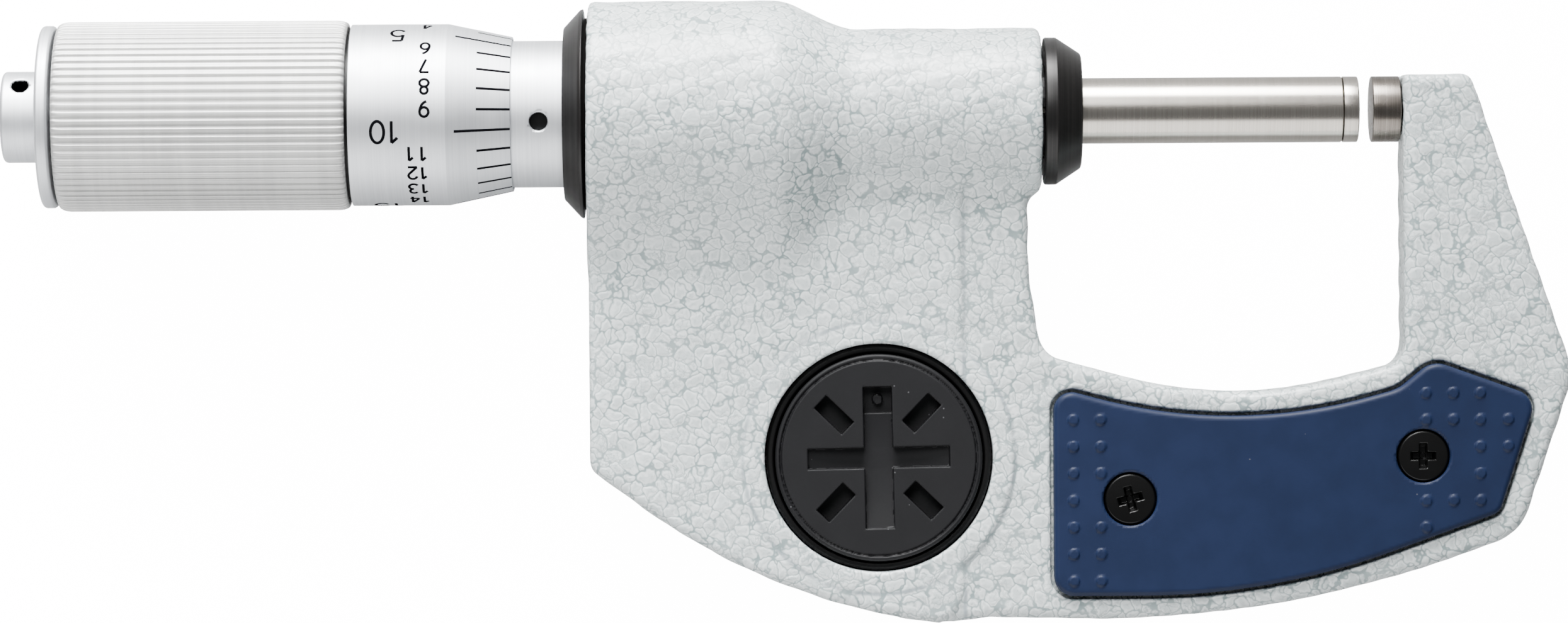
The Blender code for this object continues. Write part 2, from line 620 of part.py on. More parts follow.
def toothed(name, x_flat, x_teeth, inner, outer, kind):
    """A disc with saw teeth on its left face: each tooth climbs over two sides and drops over one."""
    count = 3 * RATCHET_TEETH
    verts, faces = [], []
    for k in range(count):
        a = 2 * math.pi * k / count
        rise = RATCHET_RISE * (k % 3) / 2
        for x, r in ((x_flat, inner), (x_flat, outer), (x_teeth - rise, outer), (x_teeth - rise, inner)):
            verts.append((x, r * math.cos(a), r * math.sin(a)))
    for k in range(count):
        for j in range(4):
            n = (k + 1) % count
            faces.append((4 * k + j, 4 * k + (j + 1) % 4, 4 * n + (j + 1) % 4, 4 * n + j))
    mesh = bpy.data.meshes.new(name)
    mesh.from_pydata(verts, [], faces)
    work = bmesh.new()
    work.from_mesh(mesh)
    bmesh.ops.recalc_face_normals(work, faces=work.faces)
    work.to_mesh(mesh)
    work.free()
    return place(bpy.data.objects.new(name, mesh), kind)


x_wheel = x_web_back - SEAT_GAP
x_wheel_teeth = x_wheel - RATCHET_DISC
toothed("ratchet_wheel", x_wheel, x_wheel_teeth, journal_r + RUN_GAP, grip_bore_r - 0.5 * MM, "ground_steel")
x_ring_end = x_wheel_teeth - SEAT_GAP - RATCHET_RISE - RATCHET_DISC
toothed("ratchet_ring", x_ring_end, x_wheel_teeth - SEAT_GAP, journal_r + 2 * RUN_GAP, grip_bore_r - RUN_GAP,
        "ground_steel")
spring = bpy.data.curves.new("ratchet_spring_curve", "CURVE")
spring.dimensions = "3D"
spring.bevel_depth = SPRING_WIRE / 2
spring.bevel_resolution = 1
spring.use_fill_caps = True
coil = spring.splines.new("POLY")
coil_count = SPRING_TURNS * 12
coil.points.add(coil_count)
coil_start = x_ring_end - SEAT_GAP - SPRING_WIRE / 2
coil_length = coil_start - (x_flange + SEAT_GAP + SPRING_WIRE / 2)
for k, point in enumerate(coil.points):
    a = 2 * math.pi * SPRING_TURNS * k / coil_count
    point.co = (coil_start - coil_length * k / coil_count, SPRING_DIA / 2 * math.cos(a),
                SPRING_DIA / 2 * math.sin(a), 1.0)
drawn = bpy.data.objects.new("ratchet_spring_curve", spring)
bpy.context.scene.collection.objects.link(drawn)
bpy.context.view_layer.update()
graph = bpy.context.evaluated_depsgraph_get()
wire = bpy.data.meshes.new_from_object(drawn.evaluated_get(graph))
bpy.data.objects.remove(drawn, do_unlink=True)
work = bmesh.new()
work.from_mesh(wire)
bmesh.ops.remove_doubles(work, verts=work.verts, dist=1e-7)
bmesh.ops.recalc_face_normals(work, faces=work.faces)
work.to_mesh(wire)
work.free()
wire.materials.clear()
place(bpy.data.objects.new("ratchet_spring", wire), "nickel")

nub_r, flange_r = NUB_DIA / 2, FLANGE_DIA / 2
end_cap = lathe("end_cap", [
    (x_nub_end, 0), (x_nub_end, nub_r - 0.4 * MM), (x_nub_end + 0.4 * MM, nub_r), (x_flange_back, nub_r),
    (x_flange_back, flange_r - 0.4 * MM), (x_flange_back + 0.4 * MM, flange_r), (x_flange, flange_r),
    (x_flange, journal_r), (x_spindle_end - SEAT_GAP, journal_r), (x_spindle_end - SEAT_GAP, stud_r),
    (x_stud - 0.2 * MM, stud_r), (x_stud - 0.2 * MM, 0),
], "satin_chrome")
nub_hole = rod("nub_hole", 0, nub_r + 1.0 * MM, NUB_HOLE_DIA / 2, None, axis="Z",
               at=((x_nub_end + x_flange_back) / 2, 0, 0), steps=16, collection=tools)
nub_hole.rotation_euler = (math.radians(-43), 0, 0)
combine(end_cap, nub_hole)

# Battery: cell, contacts, the socket the cap closes, the cap with its coin and key slots, and the seal
at_well = (x_well, y_well, 0)
socket_r = WELL_DIA / 2 - RUN_GAP
cap_r = CAP_DIA / 2
lathe("battery_socket", [
    (socket_bottom, cell_r + 0.8 * MM), (socket_bottom, socket_r), (cap_top - 0.8 * MM, socket_r),
    (cap_top - 0.8 * MM, cap_r + RUN_GAP), (seat_top, cap_r + RUN_GAP), (seat_top, cell_r + 0.8 * MM),
], "black_plastic", axis="Z", at=at_well)
lathe("battery_cell", [
    (cell_floor, 0), (cell_floor, cell_r - 1.0 * MM), (cell_floor + 0.5 * MM, cell_r), (cell_top, cell_r), (cell_top, 0),
], "nickel", axis="Z", at=at_well)
cap_boss_r = cap_r - 2.0 * MM
cap = lathe("battery_cap", [
    (cap_under - 0.6 * MM, 0), (cap_under - 0.6 * MM, cap_boss_r), (cap_under, cap_boss_r), (cap_under, cap_r),
    (cap_top - 0.3 * MM, cap_r), (cap_top, cap_r - 0.3 * MM), (cap_top, 0),
], "dark_plastic", axis="Z", at=at_well, steps=36)
slot_floor, slot_top = cap_top - CAP_SLOT_DEPTH, cap_top + 1.0 * MM
half = CAP_SLOT_LENGTH / 2
wide, narrow = CAP_SLOT_WIDE / 2, CAP_SLOT_NARROW / 2
cross = [(x_well + x, y_well + y) for x, y in (
    (wide, narrow), (half, narrow), (half, -narrow), (wide, -narrow), (wide, -half), (-wide, -half),
    (-wide, -narrow), (-half, -narrow), (-half, narrow), (-wide, narrow), (-wide, half), (wide, half))]
slots = [cross]
for k in range(4):
    a = math.radians(45 + 90 * k)
    notch = []
    for u, v in ((-1, -1), (1, -1), (1, 1), (-1, 1)):
        along = CAP_NOTCH_RADIUS + u * CAP_NOTCH_LENGTH / 2
        aside = v * CAP_NOTCH_WIDTH / 2
        notch.append((x_well + along * math.cos(a) - aside * math.sin(a),
                      y_well + along * math.sin(a) + aside * math.cos(a)))
    slots.append(notch)
combine(cap, prism("cap_slots", slots, slot_floor, slot_top, None, collection=tools))
seal_r = (cap_boss_r + cap_r) / 2
seal_mid = (cap_under + seat_top) / 2
seal_profile = []
for k in range(8):
    a = 2 * math.pi * k / 8
    seal_profile.append((seal_mid + SEAL_WIRE / 2 * math.sin(a), seal_r + SEAL_WIRE / 2 * math.cos(a)))
lathe("cap_seal", seal_profile, "rubber", axis="Z", at=at_well)
box("battery_contact_minus", (x_well - 4.0 * MM, x_well + 4.0 * MM), (y_well - 1.5 * MM, y_well + 1.5 * MM),
    (cell_floor - 0.15 * MM - CONTACT_THICKNESS, cell_floor - 0.15 * MM), "nickel")
x_contact = x_well - cell_r - 0.15 * MM
box("battery_contact_plus", (x_contact - CONTACT_THICKNESS, x_contact), (y_well - 1.0 * MM, y_well + 1.0 * MM),
    (cell_floor + 0.3 * MM, socket_bottom - 0.8 * MM), "nickel")

# Grip plates either side of the bow; the rear one takes the screws, the front one the bosses they run into
head_r, screw_r = HEAD_DIA / 2, SCREW_DIA / 2
rear = prism("rear_plate", [rounded(plate_corners)], plate_front, plate_back, "navy_plastic", edge=PLATE_EDGE)
front = prism("front_plate", [rounded(plate_corners)], -plate_back, -plate_front, "navy_plastic", edge=PLATE_EDGE)
head_top = plate_back - 0.05 * MM
head_under = head_top - HEAD_HEIGHT
boss_top = plate_front - 0.2 * MM
for i, (x, y) in enumerate(plate_screws):
    tag = "_%d" % (i + 1)
    combine(rear, rod("head_hole" + tag, head_under - RUN_GAP, plate_back + 1.0 * MM, head_r + RUN_GAP, None,
                      axis="Z", at=(x, y, 0), steps=24, collection=tools))
    combine(rear, rod("shank_hole" + tag, plate_front - 1.0 * MM, head_under, screw_r + RUN_GAP, None,
                      axis="Z", at=(x, y, 0), steps=24, collection=tools))
    combine(front, rod("plate_boss" + tag, -plate_front - 0.5 * MM, boss_top, plate_boss_r, None,
                       axis="Z", at=(x, y, 0), steps=24, collection=tools), "UNION")
    combine(front, rod("tapped_hole" + tag, -plate_front + 0.6 * MM, boss_top + 1.0 * MM, screw_r + RUN_GAP, None,
                       axis="Z", at=(x, y, 0), steps=24, collection=tools))
    screw = lathe("plate_screw" + tag, [
        (-plate_front + 1.0 * MM, 0), (-plate_front + 1.0 * MM, screw_r), (head_under, screw_r), (head_under, head_r),
        (head_top - 0.35 * MM, head_r), (head_top, head_r - 0.5 * MM), (head_top, 0),
    ], "black_steel", axis="Z", at=(x, y, 0), steps=24)
    arm, web = 1.35 * MM, 0.32 * MM
    drive = [(x + u, y + v) for u, v in ((web, web), (arm, web), (arm, -web), (web, -web), (web, -arm),
                                         (-web, -arm), (-web, -web), (-arm, -web), (-arm, web), (-web, web),
                                         (-web, arm), (web, arm))]
    combine(screw, prism("drive" + tag, [drive], head_top - 0.9 * MM, head_top + 1.0 * MM, None, collection=tools))

# Display side: board, display, window, buttons and the cover they show through
pad_front = board_under - SEAT_GAP - PAD_THICKNESS
prism("circuit_board", [rounded(grown(pocket_corners, -0.4 * MM))], board_under, board_top, "board_green")
half_w, half_h = (x_pocket_end - x_pocket) / 2 - LCD_MARGIN, LCD_HEIGHT / 2
box("lcd_module", (x_mid - half_w, x_mid + half_w), (lcd_y - half_h, lcd_y + half_h),
    (lcd_front, board_under - SEAT_GAP), "lcd_grey")
button_r = BUTTON_DIA / 2
lip_r = button_r + 0.6 * MM
x_first = x_pocket_end - 0.9 * MM - lip_r - 2 * BUTTON_PITCH
box("button_pad", (x_first - lip_r, x_first + 2 * BUTTON_PITCH + lip_r), (button_y - lip_r, button_y + lip_r),
    (pad_front, board_under - SEAT_GAP), "rubber")
bezel = prism("bezel", [rounded(grown(body_corners, -BEZEL_INSET))], bezel_front, bezel_back, "navy_plastic",
              edge=0.5 * MM)
half_w, half_h = half_w - WINDOW_BORDER, half_h - WINDOW_BORDER
window_front = bezel_front + 0.25 * MM
window_back = window_front + WINDOW_THICKNESS
window_corners = [
    (x_mid - half_w, lcd_y - half_h, 1.0 * MM), (x_mid + half_w, lcd_y - half_h, 1.0 * MM),
    (x_mid + half_w, lcd_y + half_h, 1.0 * MM), (x_mid - half_w, lcd_y + half_h, 1.0 * MM),
]
prism("display_window", [rounded(window_corners)], window_front, window_back, "clear_window")
combine(bezel, prism("window_seat", [rounded(grown(window_corners, RUN_GAP))], bezel_front - 1.0 * MM,
                     window_back + 0.1 * MM, None, collection=tools))
combine(bezel, prism("window_hole", [rounded(grown(window_corners, -1.0 * MM))], bezel_front, bezel_back + 1.0 * MM,
                     None, collection=tools))
lip_front = bezel_back + SEAT_GAP
lip_back = pad_front - SEAT_GAP - BUTTON_TRAVEL
for k in range(3):
    x = x_first + BUTTON_PITCH * k
    tag = "_%d" % (k + 1)
    lathe("button" + tag, [
        (bezel_front + 0.2 * MM, 0), (bezel_front + 0.2 * MM, button_r - 0.3 * MM),
        (bezel_front + 0.5 * MM, button_r), (lip_front, button_r), (lip_front, lip_r), (lip_back, lip_r), (lip_back, 0),
    ], "grey_plastic", axis="Z", at=(x, button_y, 0), steps=24)
    combine(bezel, rod("button_hole" + tag, bezel_front - 1.0 * MM, bezel_back + 1.0 * MM, button_r + RUN_GAP, None,
                       axis="Z", at=(x, button_y, 0), steps=24, collection=tools))
bezel_screw_r, bezel_head_r = BEZEL_SCREW_DIA / 2, BEZEL_HEAD_DIA / 2
bezel_head_under = bezel_front + 1.1 * MM
for i, (x, y) in enumerate(bezel_screws):
    tag = "_%d" % (i + 1)
    lathe("bezel_screw" + tag, [
        (bezel_front + 0.1 * MM, 0), (bezel_front + 0.1 * MM, bezel_head_r), (bezel_head_under, bezel_head_r),
        (bezel_head_under, bezel_screw_r), (body_front + 1.3 * MM, bezel_screw_r), (body_front + 1.3 * MM, 0),
    ], "black_steel", axis="Z", at=(x, y, 0), steps=16)
    combine(bezel, rod("cover_head" + tag, bezel_front - 1.0 * MM, bezel_head_under + RUN_GAP,
                       bezel_head_r + RUN_GAP, None, axis="Z", at=(x, y, 0), steps=16, collection=tools))
    combine(bezel, rod("cover_shank" + tag, bezel_front, bezel_back + 1.0 * MM, bezel_screw_r + RUN_GAP, None,
                       axis="Z", at=(x, y, 0), steps=16, collection=tools))

bpy.context.view_layer.update()
to_table = Matrix.Translation((-x_mid, 0, -bezel_front))
for ob in list(parts.objects) + list(tools.objects):
    ob.matrix_world = to_table @ ob.matrix_world
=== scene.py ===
# %% [markdown]
# # An outside micrometer, dressed for the camera
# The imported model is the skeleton: it says where every piece is and how it moves. Here each piece that
# shows gets a finer skin and its real finish, and rides on the body that it belongs to. All sizes below are
# in millimetres, measured from the middle of the anvil's face, with X along the spindle towards the anvil.

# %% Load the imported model
import itertools
import json
import math

import bmesh
import bpy
import numpy as np
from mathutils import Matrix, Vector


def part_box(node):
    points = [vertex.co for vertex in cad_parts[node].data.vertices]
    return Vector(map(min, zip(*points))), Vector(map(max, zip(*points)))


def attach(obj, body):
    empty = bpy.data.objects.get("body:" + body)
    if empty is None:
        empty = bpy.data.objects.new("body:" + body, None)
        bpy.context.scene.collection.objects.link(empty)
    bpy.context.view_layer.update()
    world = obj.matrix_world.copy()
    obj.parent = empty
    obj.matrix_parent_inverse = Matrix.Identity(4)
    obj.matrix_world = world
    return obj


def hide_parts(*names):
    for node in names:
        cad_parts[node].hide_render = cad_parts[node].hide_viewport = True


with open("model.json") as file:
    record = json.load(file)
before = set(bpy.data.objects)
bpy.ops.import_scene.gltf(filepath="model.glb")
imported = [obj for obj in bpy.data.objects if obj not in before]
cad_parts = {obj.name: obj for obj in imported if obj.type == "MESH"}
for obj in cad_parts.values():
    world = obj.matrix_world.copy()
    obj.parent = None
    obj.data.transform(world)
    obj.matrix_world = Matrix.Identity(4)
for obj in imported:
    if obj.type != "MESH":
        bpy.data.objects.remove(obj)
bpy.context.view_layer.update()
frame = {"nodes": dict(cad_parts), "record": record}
MM = 0.001
anvil_low, anvil_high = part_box("anvil")
HOME = np.array([anvil_low[0], 0.0, (anvil_low[2] + anvil_high[2]) / 2])
print("anvil face at", HOME, "with", len(frame["nodes"]), "nodes")

# %% [markdown]
# ## Finishes
# Every finish starts from the Principled shader. Patterns read Object coordinates, so they stay on the metal
# from any side. Three effects come back on several pieces, so each is a node group with its own inputs: the
# fine rings a lathe or grinder leaves, the grain of moulded plastic, and a little dust.

# %% Node helpers
def add(tree, kind, inputs=None, **settings):
    """A new node with its settings, and its input sockets set or linked by name."""
    made = tree.nodes.new(kind)
    for key, value in settings.items():
        setattr(made, key, value)
    for key, value in (inputs or {}).items():
        socket = made.inputs[key]
        if isinstance(value, bpy.types.NodeSocket):
            tree.links.new(value, socket)
        else:
            socket.default_value = value
    return made


def maths(tree, operation, *values):
    """One arithmetic step on sockets or numbers."""
    made = add(tree, "ShaderNodeMath", operation=operation)
    for socket, value in zip(made.inputs, values):
        if isinstance(value, bpy.types.NodeSocket):
            tree.links.new(value, socket)
        else:
            socket.default_value = value
    return made.outputs[0]


def step_between(tree, value, start, end, low=0.0, high=1.0):
    """Smooth change from low to high while value goes from start to end."""
    made = add(tree, "ShaderNodeMapRange", {"Value": value, "From Min": start, "From Max": end,
                                            "To Min": low, "To Max": high}, interpolation_type="SMOOTHSTEP")
    return made.outputs["Result"]


def blend_colour(tree, share, first, second):
    """The first colour where share is 0, the second where it is 1."""
    made = add(tree, "ShaderNodeMix", data_type="RGBA")
    for socket, value in ((made.inputs[0], share), (made.inputs[6], first), (made.inputs[7], second)):
        if isinstance(value, bpy.types.NodeSocket):
            tree.links.new(value, socket)
        else:
            socket.default_value = value if isinstance(value, float) else (*value, 1.0)
    return made.outputs[2]


def new_group(name, inputs, outputs):
    """An empty shader node group with float inputs and outputs; returns the tree and its two ends."""
    tree = bpy.data.node_groups.new(name, "ShaderNodeTree")
    for label, value in inputs:
        socket = tree.interface.new_socket(label, in_out="INPUT", socket_type="NodeSocketFloat")
        socket.default_value = value
    for label in outputs:
        tree.interface.new_socket(label, in_out="OUTPUT", socket_type="NodeSocketFloat")
    return tree, tree.nodes.new("NodeGroupInput"), tree.nodes.new("NodeGroupOutput")


def finish(name, colour, metallic, roughness, **sockets):
    """A material with a Principled shader; constants go on the shader's own sockets."""
    made = bpy.data.materials.new(name)
    made.use_nodes = True
    shader = made.node_tree.nodes["Principled BSDF"]
    shader.inputs["Base Color"].default_value = (*colour, 1.0)
    shader.inputs["Metallic"].default_value = metallic
    shader.inputs["Roughness"].default_value = roughness
    for key, value in sockets.items():
        shader.inputs[key.replace("_", " ")].default_value = value
    return made, made.node_tree, shader


def wire_bump(tree, shader, height, strength, depth):
    """Feeds a height through a Bump node into the shader's normal; depth is in metres."""
    bump = add(tree, "ShaderNodeBump", {"Height": height, "Strength": strength, "Distance": depth})
    tree.links.new(bump.outputs["Normal"], shader.inputs["Normal"])


# %% Shared effects: turned rings, plastic grain, dust
turned_rings, start, end = new_group("turned_rings", [("Rings", 6000.0), ("Drift", 30.0)], ["Line", "Cloud"])
place = add(turned_rings, "ShaderNodeTexCoord").outputs["Object"]
axes = add(turned_rings, "ShaderNodeSeparateXYZ", {"Vector": place})
along = maths(turned_rings, "MULTIPLY", axes.outputs["X"], start.outputs["Rings"])
across = maths(turned_rings, "MULTIPLY", axes.outputs["Y"], start.outputs["Drift"])
depth = maths(turned_rings, "MULTIPLY", axes.outputs["Z"], start.outputs["Drift"])
lines_at = add(turned_rings, "ShaderNodeCombineXYZ", {"X": along, "Y": across, "Z": depth})
lines = add(turned_rings, "ShaderNodeTexNoise", {"Vector": lines_at.outputs[0], "Scale": 1.0, "Detail": 4.0,
                                                 "Roughness": 0.7})
cloud = add(turned_rings, "ShaderNodeTexNoise", {"Vector": place, "Scale": 420.0, "Detail": 3.0})
turned_rings.links.new(lines.outputs["Fac"], end.inputs["Line"])
turned_rings.links.new(cloud.outputs["Fac"], end.inputs["Cloud"])

moulded_grain, start, end = new_group("moulded_grain", [("Size", 9000.0)], ["Grain", "Mottle"])
place = add(moulded_grain, "ShaderNodeTexCoord").outputs["Object"]
grain = add(moulded_grain, "ShaderNodeTexNoise",
            {"Vector": place, "Scale": start.outputs["Size"], "Detail": 2.0})
mottle = add(moulded_grain, "ShaderNodeTexNoise", {"Vector": place, "Scale": 300.0, "Detail": 3.0})
moulded_grain.links.new(grain.outputs["Fac"], end.inputs["Grain"])
moulded_grain.links.new(mottle.outputs["Fac"], end.inputs["Mottle"])

dust_specks, start, end = new_group("dust_specks", [("Amount", 0.1)], ["Speck"])
place = add(dust_specks, "ShaderNodeTexCoord").outputs["Object"]
spots = add(dust_specks, "ShaderNodeTexVoronoi", {"Vector": place, "Scale": 1500.0, "Randomness": 1.0})
chosen = add(dust_specks, "ShaderNodeSeparateColor", {"Color": spots.outputs["Color"]})
kept = maths(dust_specks, "LESS_THAN", chosen.outputs[0], start.outputs["Amount"])
near = step_between(dust_specks, spots.outputs["Distance"], 0.05, 0.15, 1.0, 0.0)
dust_specks.links.new(maths(dust_specks, "MULTIPLY", kept, near), end.inputs["Speck"])
print("node groups:", [g.name for g in bpy.data.node_groups])

# %% [markdown]
# ## The baked enamel
# The frame is sprayed with a glossy pale enamel that gathers into small round cells as it dries: soft darker
# veins between domed islands, smaller cells inside some of them and a few pin holes. Along the step and the
# edge of the battery boss, where they leave the body, the enamel is darkened: partly dirt, partly painted
# shade. A plain cell pattern has sharp, straight borders. What its smoothed distance lacks of the plain one
# marks rounded borders instead, and noise bends them.

# %% Enamel: cells and veins
X_BODY, X_STEP, X_NOSE, X_WALL = -75.57, -39.47, -31.90, -33.27
WELL = (-47.70, -33.27)
CELLS, SMALL_CELLS, PIN_HOLES = 820.0, 1900.0, 420.0
BEND = 1.6 * MM
enamel, tree, shader = finish("enamel", (0.62, 0.66, 0.65), 0.0, 0.3, Coat_Weight=0.25, Coat_Roughness=0.12)
place = add(tree, "ShaderNodeTexCoord").outputs["Object"]
bend = add(tree, "ShaderNodeTexNoise", {"Vector": place, "Scale": 700.0, "Detail": 2.0, "Roughness": 0.5})
shift = add(tree, "ShaderNodeVectorMath", {0: bend.outputs["Color"], 1: (0.5, 0.5, 0.5)},
            operation="SUBTRACT")
shift = add(tree, "ShaderNodeVectorMath", {0: shift.outputs[0], "Scale": BEND}, operation="SCALE")
bent = add(tree, "ShaderNodeVectorMath", {0: place, 1: shift.outputs[0]}, operation="ADD").outputs[0]
cells = add(tree, "ShaderNodeTexVoronoi", {"Vector": bent, "Scale": CELLS, "Randomness": 1.0},
            feature="DISTANCE_TO_EDGE")
patches = add(tree, "ShaderNodeTexNoise", {"Vector": place, "Scale": 300.0, "Detail": 2.0})
clouds = add(tree, "ShaderNodeTexNoise", {"Vector": place, "Scale": 140.0, "Detail": 4.0, "Roughness": 0.6})


def rounded_seams(scale):
    """Seams where the smoothed distance to a cell's heart is under the plain one, and the plain one."""
    hearts = add(tree, "ShaderNodeTexVoronoi", {"Vector": bent, "Scale": scale, "Randomness": 1.0})
    soft = add(tree, "ShaderNodeTexVoronoi",
               {"Vector": bent, "Scale": scale, "Randomness": 1.0, "Smoothness": 0.5}, feature="SMOOTH_F1")
    short = maths(tree, "SUBTRACT", hearts.outputs["Distance"], soft.outputs["Distance"])
    return step_between(tree, short, 0.020, 0.066), hearts.outputs["Distance"]


veins, _ = rounded_seams(CELLS)
veins = maths(tree, "MULTIPLY", veins, step_between(tree, patches.outputs["Fac"], 0.35, 0.65, 0.76, 1.0))
seams, near = rounded_seams(SMALL_CELLS)
seams = maths(tree, "MULTIPLY", seams, step_between(tree, patches.outputs["Fac"], 0.36, 0.56, 0.66, 0.0))
cores = step_between(tree, near, 0.10, 0.32, 0.35, 0.0)
dark = maths(tree, "MAXIMUM", maths(tree, "MAXIMUM", veins, seams), cores)
rim = maths(tree, "MULTIPLY", step_between(tree, cells.outputs["Distance"], 0.05, 0.12),
            step_between(tree, cells.outputs["Distance"], 0.12, 0.30, 0.7, 0.0))
pits = add(tree, "ShaderNodeTexVoronoi", {"Vector": place, "Scale": PIN_HOLES, "Randomness": 1.0})
pit_choice = add(tree, "ShaderNodeSeparateColor", {"Color": pits.outputs["Color"]})
pit = maths(tree, "MULTIPLY", maths(tree, "LESS_THAN", pit_choice.outputs[0], 0.07),
            step_between(tree, pits.outputs["Distance"], 0.02, 0.05, 1.0, 0.0))

# %% Enamel: dirt and painted shade along the step and the boss
CREASE_R = 13.1
axes = add(tree, "ShaderNodeSeparateXYZ", {"Vector": place})
from_step = maths(tree, "SUBTRACT", axes.outputs["X"], float(HOME[0]) + X_STEP * MM)
out_x = maths(tree, "SUBTRACT", axes.outputs["X"], float(HOME[0]) + WELL[0] * MM)
out_y = maths(tree, "SUBTRACT", axes.outputs["Y"], float(HOME[1]) + WELL[1] * MM)
from_boss = maths(tree, "SQRT", maths(tree, "ADD", maths(tree, "MULTIPLY", out_x, out_x),
                                      maths(tree, "MULTIPLY", out_y, out_y)))
from_boss = maths(tree, "SUBTRACT", from_boss, CREASE_R * MM)


def open_border(one, other):
    """Distance to the stretch of one shape's border that the other shape doesn't cover."""
    return maths(tree, "ABSOLUTE", maths(tree, "MAXIMUM", one, maths(tree, "MULTIPLY", other, -1.0)))


# Darker enamel along the step and the boss's edge, below the barrel: partly dirt, partly painted shade.
crease_dirt_and_shade = maths(tree, "MINIMUM", open_border(from_step, from_boss), open_border(from_boss, from_step))
crease_dirt_and_shade = maths(tree, "MULTIPLY", step_between(tree, crease_dirt_and_shade, 0.05 * MM, 0.32 * MM, 0.85, 0.0),
               step_between(tree, axes.outputs["Y"], -10.0 * MM, -8.5 * MM, 1.0, 0.0))
crease_dirt_and_shade = maths(tree, "MULTIPLY", crease_dirt_and_shade, step_between(tree, patches.outputs["Fac"], 0.35, 0.6, 0.35, 1.0))

# %% Enamel: colour, domes and gloss
tone = blend_colour(tree, clouds.outputs["Fac"], (0.566, 0.630, 0.634), (0.670, 0.730, 0.729))
# Blends in the light rims, the darker step and boss edge (partly dirt, partly painted shade), the veins and
# the pin holes.
for share, colour in ((rim, (0.88, 0.92, 0.92)), (crease_dirt_and_shade, (0.30, 0.35, 0.38)), (dark, (0.260, 0.328, 0.334)),
                      (pit, (0.10, 0.11, 0.12))):
    tone = blend_colour(tree, share, tone, colour)
tree.links.new(tone, shader.inputs["Base Color"])
domes = step_between(tree, cells.outputs["Distance"], 0.0, 0.35)
domes = maths(tree, "SUBTRACT", domes, maths(tree, "MULTIPLY", near, 0.5))
wire_bump(tree, shader, domes, 0.70, 0.06 * MM)
tree.links.new(step_between(tree, clouds.outputs["Fac"], 0.3, 0.7, 0.26, 0.36), shader.inputs["Roughness"])
print("enamel has", len(tree.nodes), "nodes")

# %% [markdown]
# ## Metals, plastics and the rest
# The thimble, sleeve and grip are satin chrome, the spindle and anvil plain ground steel, the lock ring and
# collar blackened steel. Each shows rings that run round the spindle, so the rings group feeds its colour,
# its gloss and a very shallow bump. The plastics differ mostly in colour and gloss, and carry a fine moulded
# grain.

# %% Metals
def ringed_metal(name, dark, light, roughness, depth, pitch, metallic=1.0, gloss_swing=0.12):
    """A turned metal: colour varies by ring, gloss in clouds, and a shallow bump follows the rings."""
    made, tree, shader = finish(name, light, metallic, roughness)
    rings = add(tree, "ShaderNodeGroup", node_tree=turned_rings)
    rings.inputs["Rings"].default_value = pitch
    line = step_between(tree, rings.outputs["Line"], 0.3, 0.7)
    tree.links.new(blend_colour(tree, line, dark, light), shader.inputs["Base Color"])
    gloss = maths(tree, "MULTIPLY_ADD", rings.outputs["Cloud"], gloss_swing, roughness - gloss_swing / 2)
    tree.links.new(gloss, shader.inputs["Roughness"])
    wire_bump(tree, shader, rings.outputs["Line"], 0.25, depth)
    return made


satin_chrome = ringed_metal("satin_chrome", (0.715, 0.735, 0.765), (0.80, 0.82, 0.845), 0.50, 4e-6, 5200.0)
grip_chrome = ringed_metal("grip_chrome", (0.64, 0.64, 0.63), (0.72, 0.72, 0.705), 0.58, 3e-6, 600.0)
ground_steel = ringed_metal("ground_steel", (0.47, 0.436, 0.388), (0.56, 0.524, 0.472), 0.23, 2e-6, 12000.0,
                            gloss_swing=0.04)
lapped_steel = ringed_metal("lapped_steel", (0.46, 0.426, 0.382), (0.54, 0.505, 0.46), 0.22, 1e-6, 12000.0,
                            gloss_swing=0.04)
carbide = ringed_metal("carbide", (0.155, 0.137, 0.120), (0.25, 0.225, 0.20), 0.28, 3e-6, 9000.0)
black_steel = ringed_metal("black_steel", (0.010, 0.0095, 0.0095), (0.021, 0.0196, 0.019), 0.36, 5e-6, 5000.0,
                           metallic=0.55)
brass = ringed_metal("brass", (0.50, 0.36, 0.15), (0.68, 0.50, 0.24), 0.30, 4e-6, 5000.0)
nickel = ringed_metal("nickel", (0.55, 0.53, 0.50), (0.68, 0.66, 0.62), 0.28, 3e-6, 3000.0)


# %% Plastics
def moulded(name, colour, roughness, dust=0.0, depth=12e-6, **sockets):
    """A moulded plastic: slight mottle in the colour, fine grain in the bump, and dust where there is any."""
    made, tree, shader = finish(name, colour, 0.0, roughness, **sockets)
    grain = add(tree, "ShaderNodeGroup", node_tree=moulded_grain)
    darker = tuple(0.93 * c for c in colour)
    lighter = tuple(1.07 * c for c in colour)
    tone = blend_colour(tree, step_between(tree, grain.outputs["Mottle"], 0.3, 0.7), darker, lighter)
    if dust:
        specks = add(tree, "ShaderNodeGroup", node_tree=dust_specks)
        specks.inputs["Amount"].default_value = dust
        share = maths(tree, "MULTIPLY", specks.outputs["Speck"], 0.5)
        tone = blend_colour(tree, share, tone, (0.16, 0.16, 0.17))
    tree.links.new(tone, shader.inputs["Base Color"])
    gloss = maths(tree, "MULTIPLY_ADD", grain.outputs["Mottle"], 0.06, roughness - 0.03)
    tree.links.new(gloss, shader.inputs["Roughness"])
    wire_bump(tree, shader, grain.outputs["Grain"], 0.3, depth)
    return made


